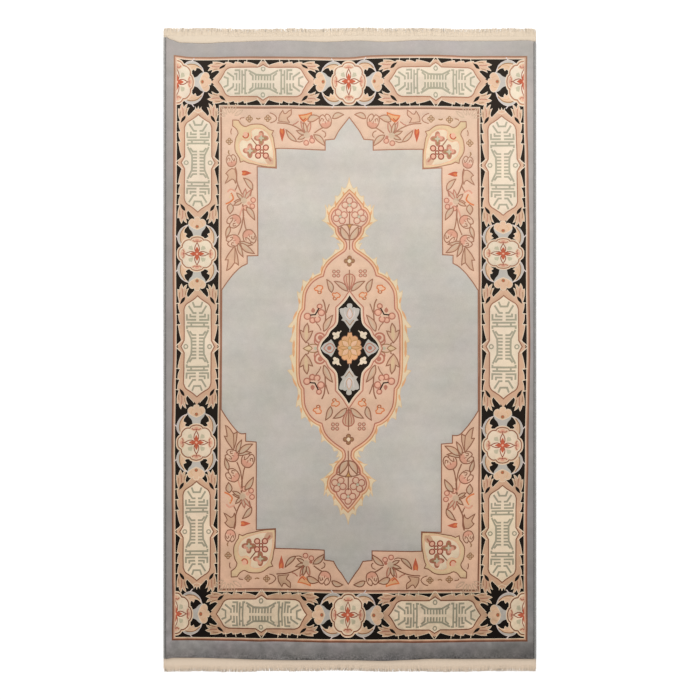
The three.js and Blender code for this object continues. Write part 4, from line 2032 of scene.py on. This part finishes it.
@dataclass(frozen=True)
class Lamp:
    """A square area light."""

    name: str
    spot: Triple  # where it hangs, m
    aim: Triple  # the point it faces
    size: float  # of its side, m
    power: float  # in watts

    def build(self) -> None:
        """Hang the light."""
        light = bpy.data.lights.new(self.name, "AREA")
        light.size = self.size
        light.energy = self.power
        lamp = bpy.data.objects.new(self.name, light)
        lamp.location = self.spot
        lamp.rotation_euler = (Vector(self.aim) - Vector(self.spot)).to_track_quat("-Z", "Y").to_euler()
        bpy.context.scene.collection.objects.link(lamp)


@dataclass
class Studio:
    """The pale floor, the soft lights and the camera straight above the rug."""

    centre: Pair = (0.0008, 0.002)  # of the picture, m
    top: float = 0.013  # height of the pile, m
    width: float = 2.8525  # of the picture at that height, m
    lens: float = 85.0
    sensor: float = 36.0
    lamps: tuple[Lamp, ...] = (
        Lamp("key", (0.0, 3.2, 3.4), (0.0, 0.3, 0.0), 3.6, 150),
        Lamp("fill", (-0.4, -2.2, 4.2), (0.0, -0.9, 0.0), 3.0, 95),
    )

    def build(self) -> None:
        """Make the floor, the lights and the camera."""
        bpy.ops.mesh.primitive_plane_add(size=14)
        floor = bpy.context.object
        floor.name = "floor"
        material = bpy.data.materials.new("pale_floor")
        material.use_nodes = True
        shader = material.node_tree.nodes["Principled BSDF"]
        shader.inputs["Base Color"].default_value = (0.92, 0.92, 0.92, 1)
        shader.inputs["Roughness"].default_value = 0.9
        floor.data.materials.append(material)
        for lamp in self.lamps:
            lamp.build()
        world = bpy.data.worlds.new("studio")
        world.use_nodes = True
        background = world.node_tree.nodes["Background"]
        background.inputs["Color"].default_value = (1, 1, 1, 1)
        background.inputs["Strength"].default_value = 0.55
        bpy.context.scene.world = world
        bpy.context.scene.view_settings.view_transform = "Standard"
        lens = bpy.data.cameras.new("camera")
        lens.lens, lens.sensor_width = self.lens, self.sensor
        lens.clip_end = 60
        camera = bpy.data.objects.new("camera", lens)
        camera.location = (*self.centre, self.top + self.width * self.lens / self.sensor)
        bpy.context.scene.collection.objects.link(camera)
        bpy.context.scene.camera = camera


def main() -> None:
    """Build the rug and its studio in order."""
    logging.basicConfig(level=logging.INFO, format="%(name)s: %(message)s")
    bpy.ops.object.select_all(action="DESELECT")
    chart = Chart()
    for part in (Border(), Spandrels(), Medallion()):
        part.draw(chart)
    log.info("chart: %d patches", len(chart.patches))

    grain = yarn_grain()
    wool, edge_wool, cotton = (yarn_material(finish, grain) for finish in (WOOL, EDGE_WOOL, COTTON))
    pile = Pile()
    rug = pile.build(chart)
    rug.data.materials.append(wool)
    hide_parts("pile")
    pieces = [(rug, "wool_pile")]
    for side in (-1, 1):
        cord = SideCord(side).build()
        cord.data.materials.append(edge_wool)
        pieces.append((cord, "side_edging"))
    outline = pile.rings()[1]
    # The last number is the share of yarns whose tips get painted shadow.
    for end, dye, cropped, tip_shadow in ((1, Dye.COTTON, 0.0, 0.06), (-1, Dye.SOILED, 6.0, 0.15)):
        line = sorted((point.x, abs(point.y)) for point in outline if point.y * end > 1200)
        fringe = Fringe(end, dye, line, cropped=cropped, tip_shadow=tip_shadow).build()
        fringe.data.materials.append(cotton)
        pieces.append((fringe, "cotton_warp"))
    for piece, slot in pieces:
        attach(piece, "root")
        log.info("%s: %d points, %d faces", piece.name, len(piece.data.vertices), len(piece.data.polygons))
    Studio().build()


if __name__ == "__main__":
    main()
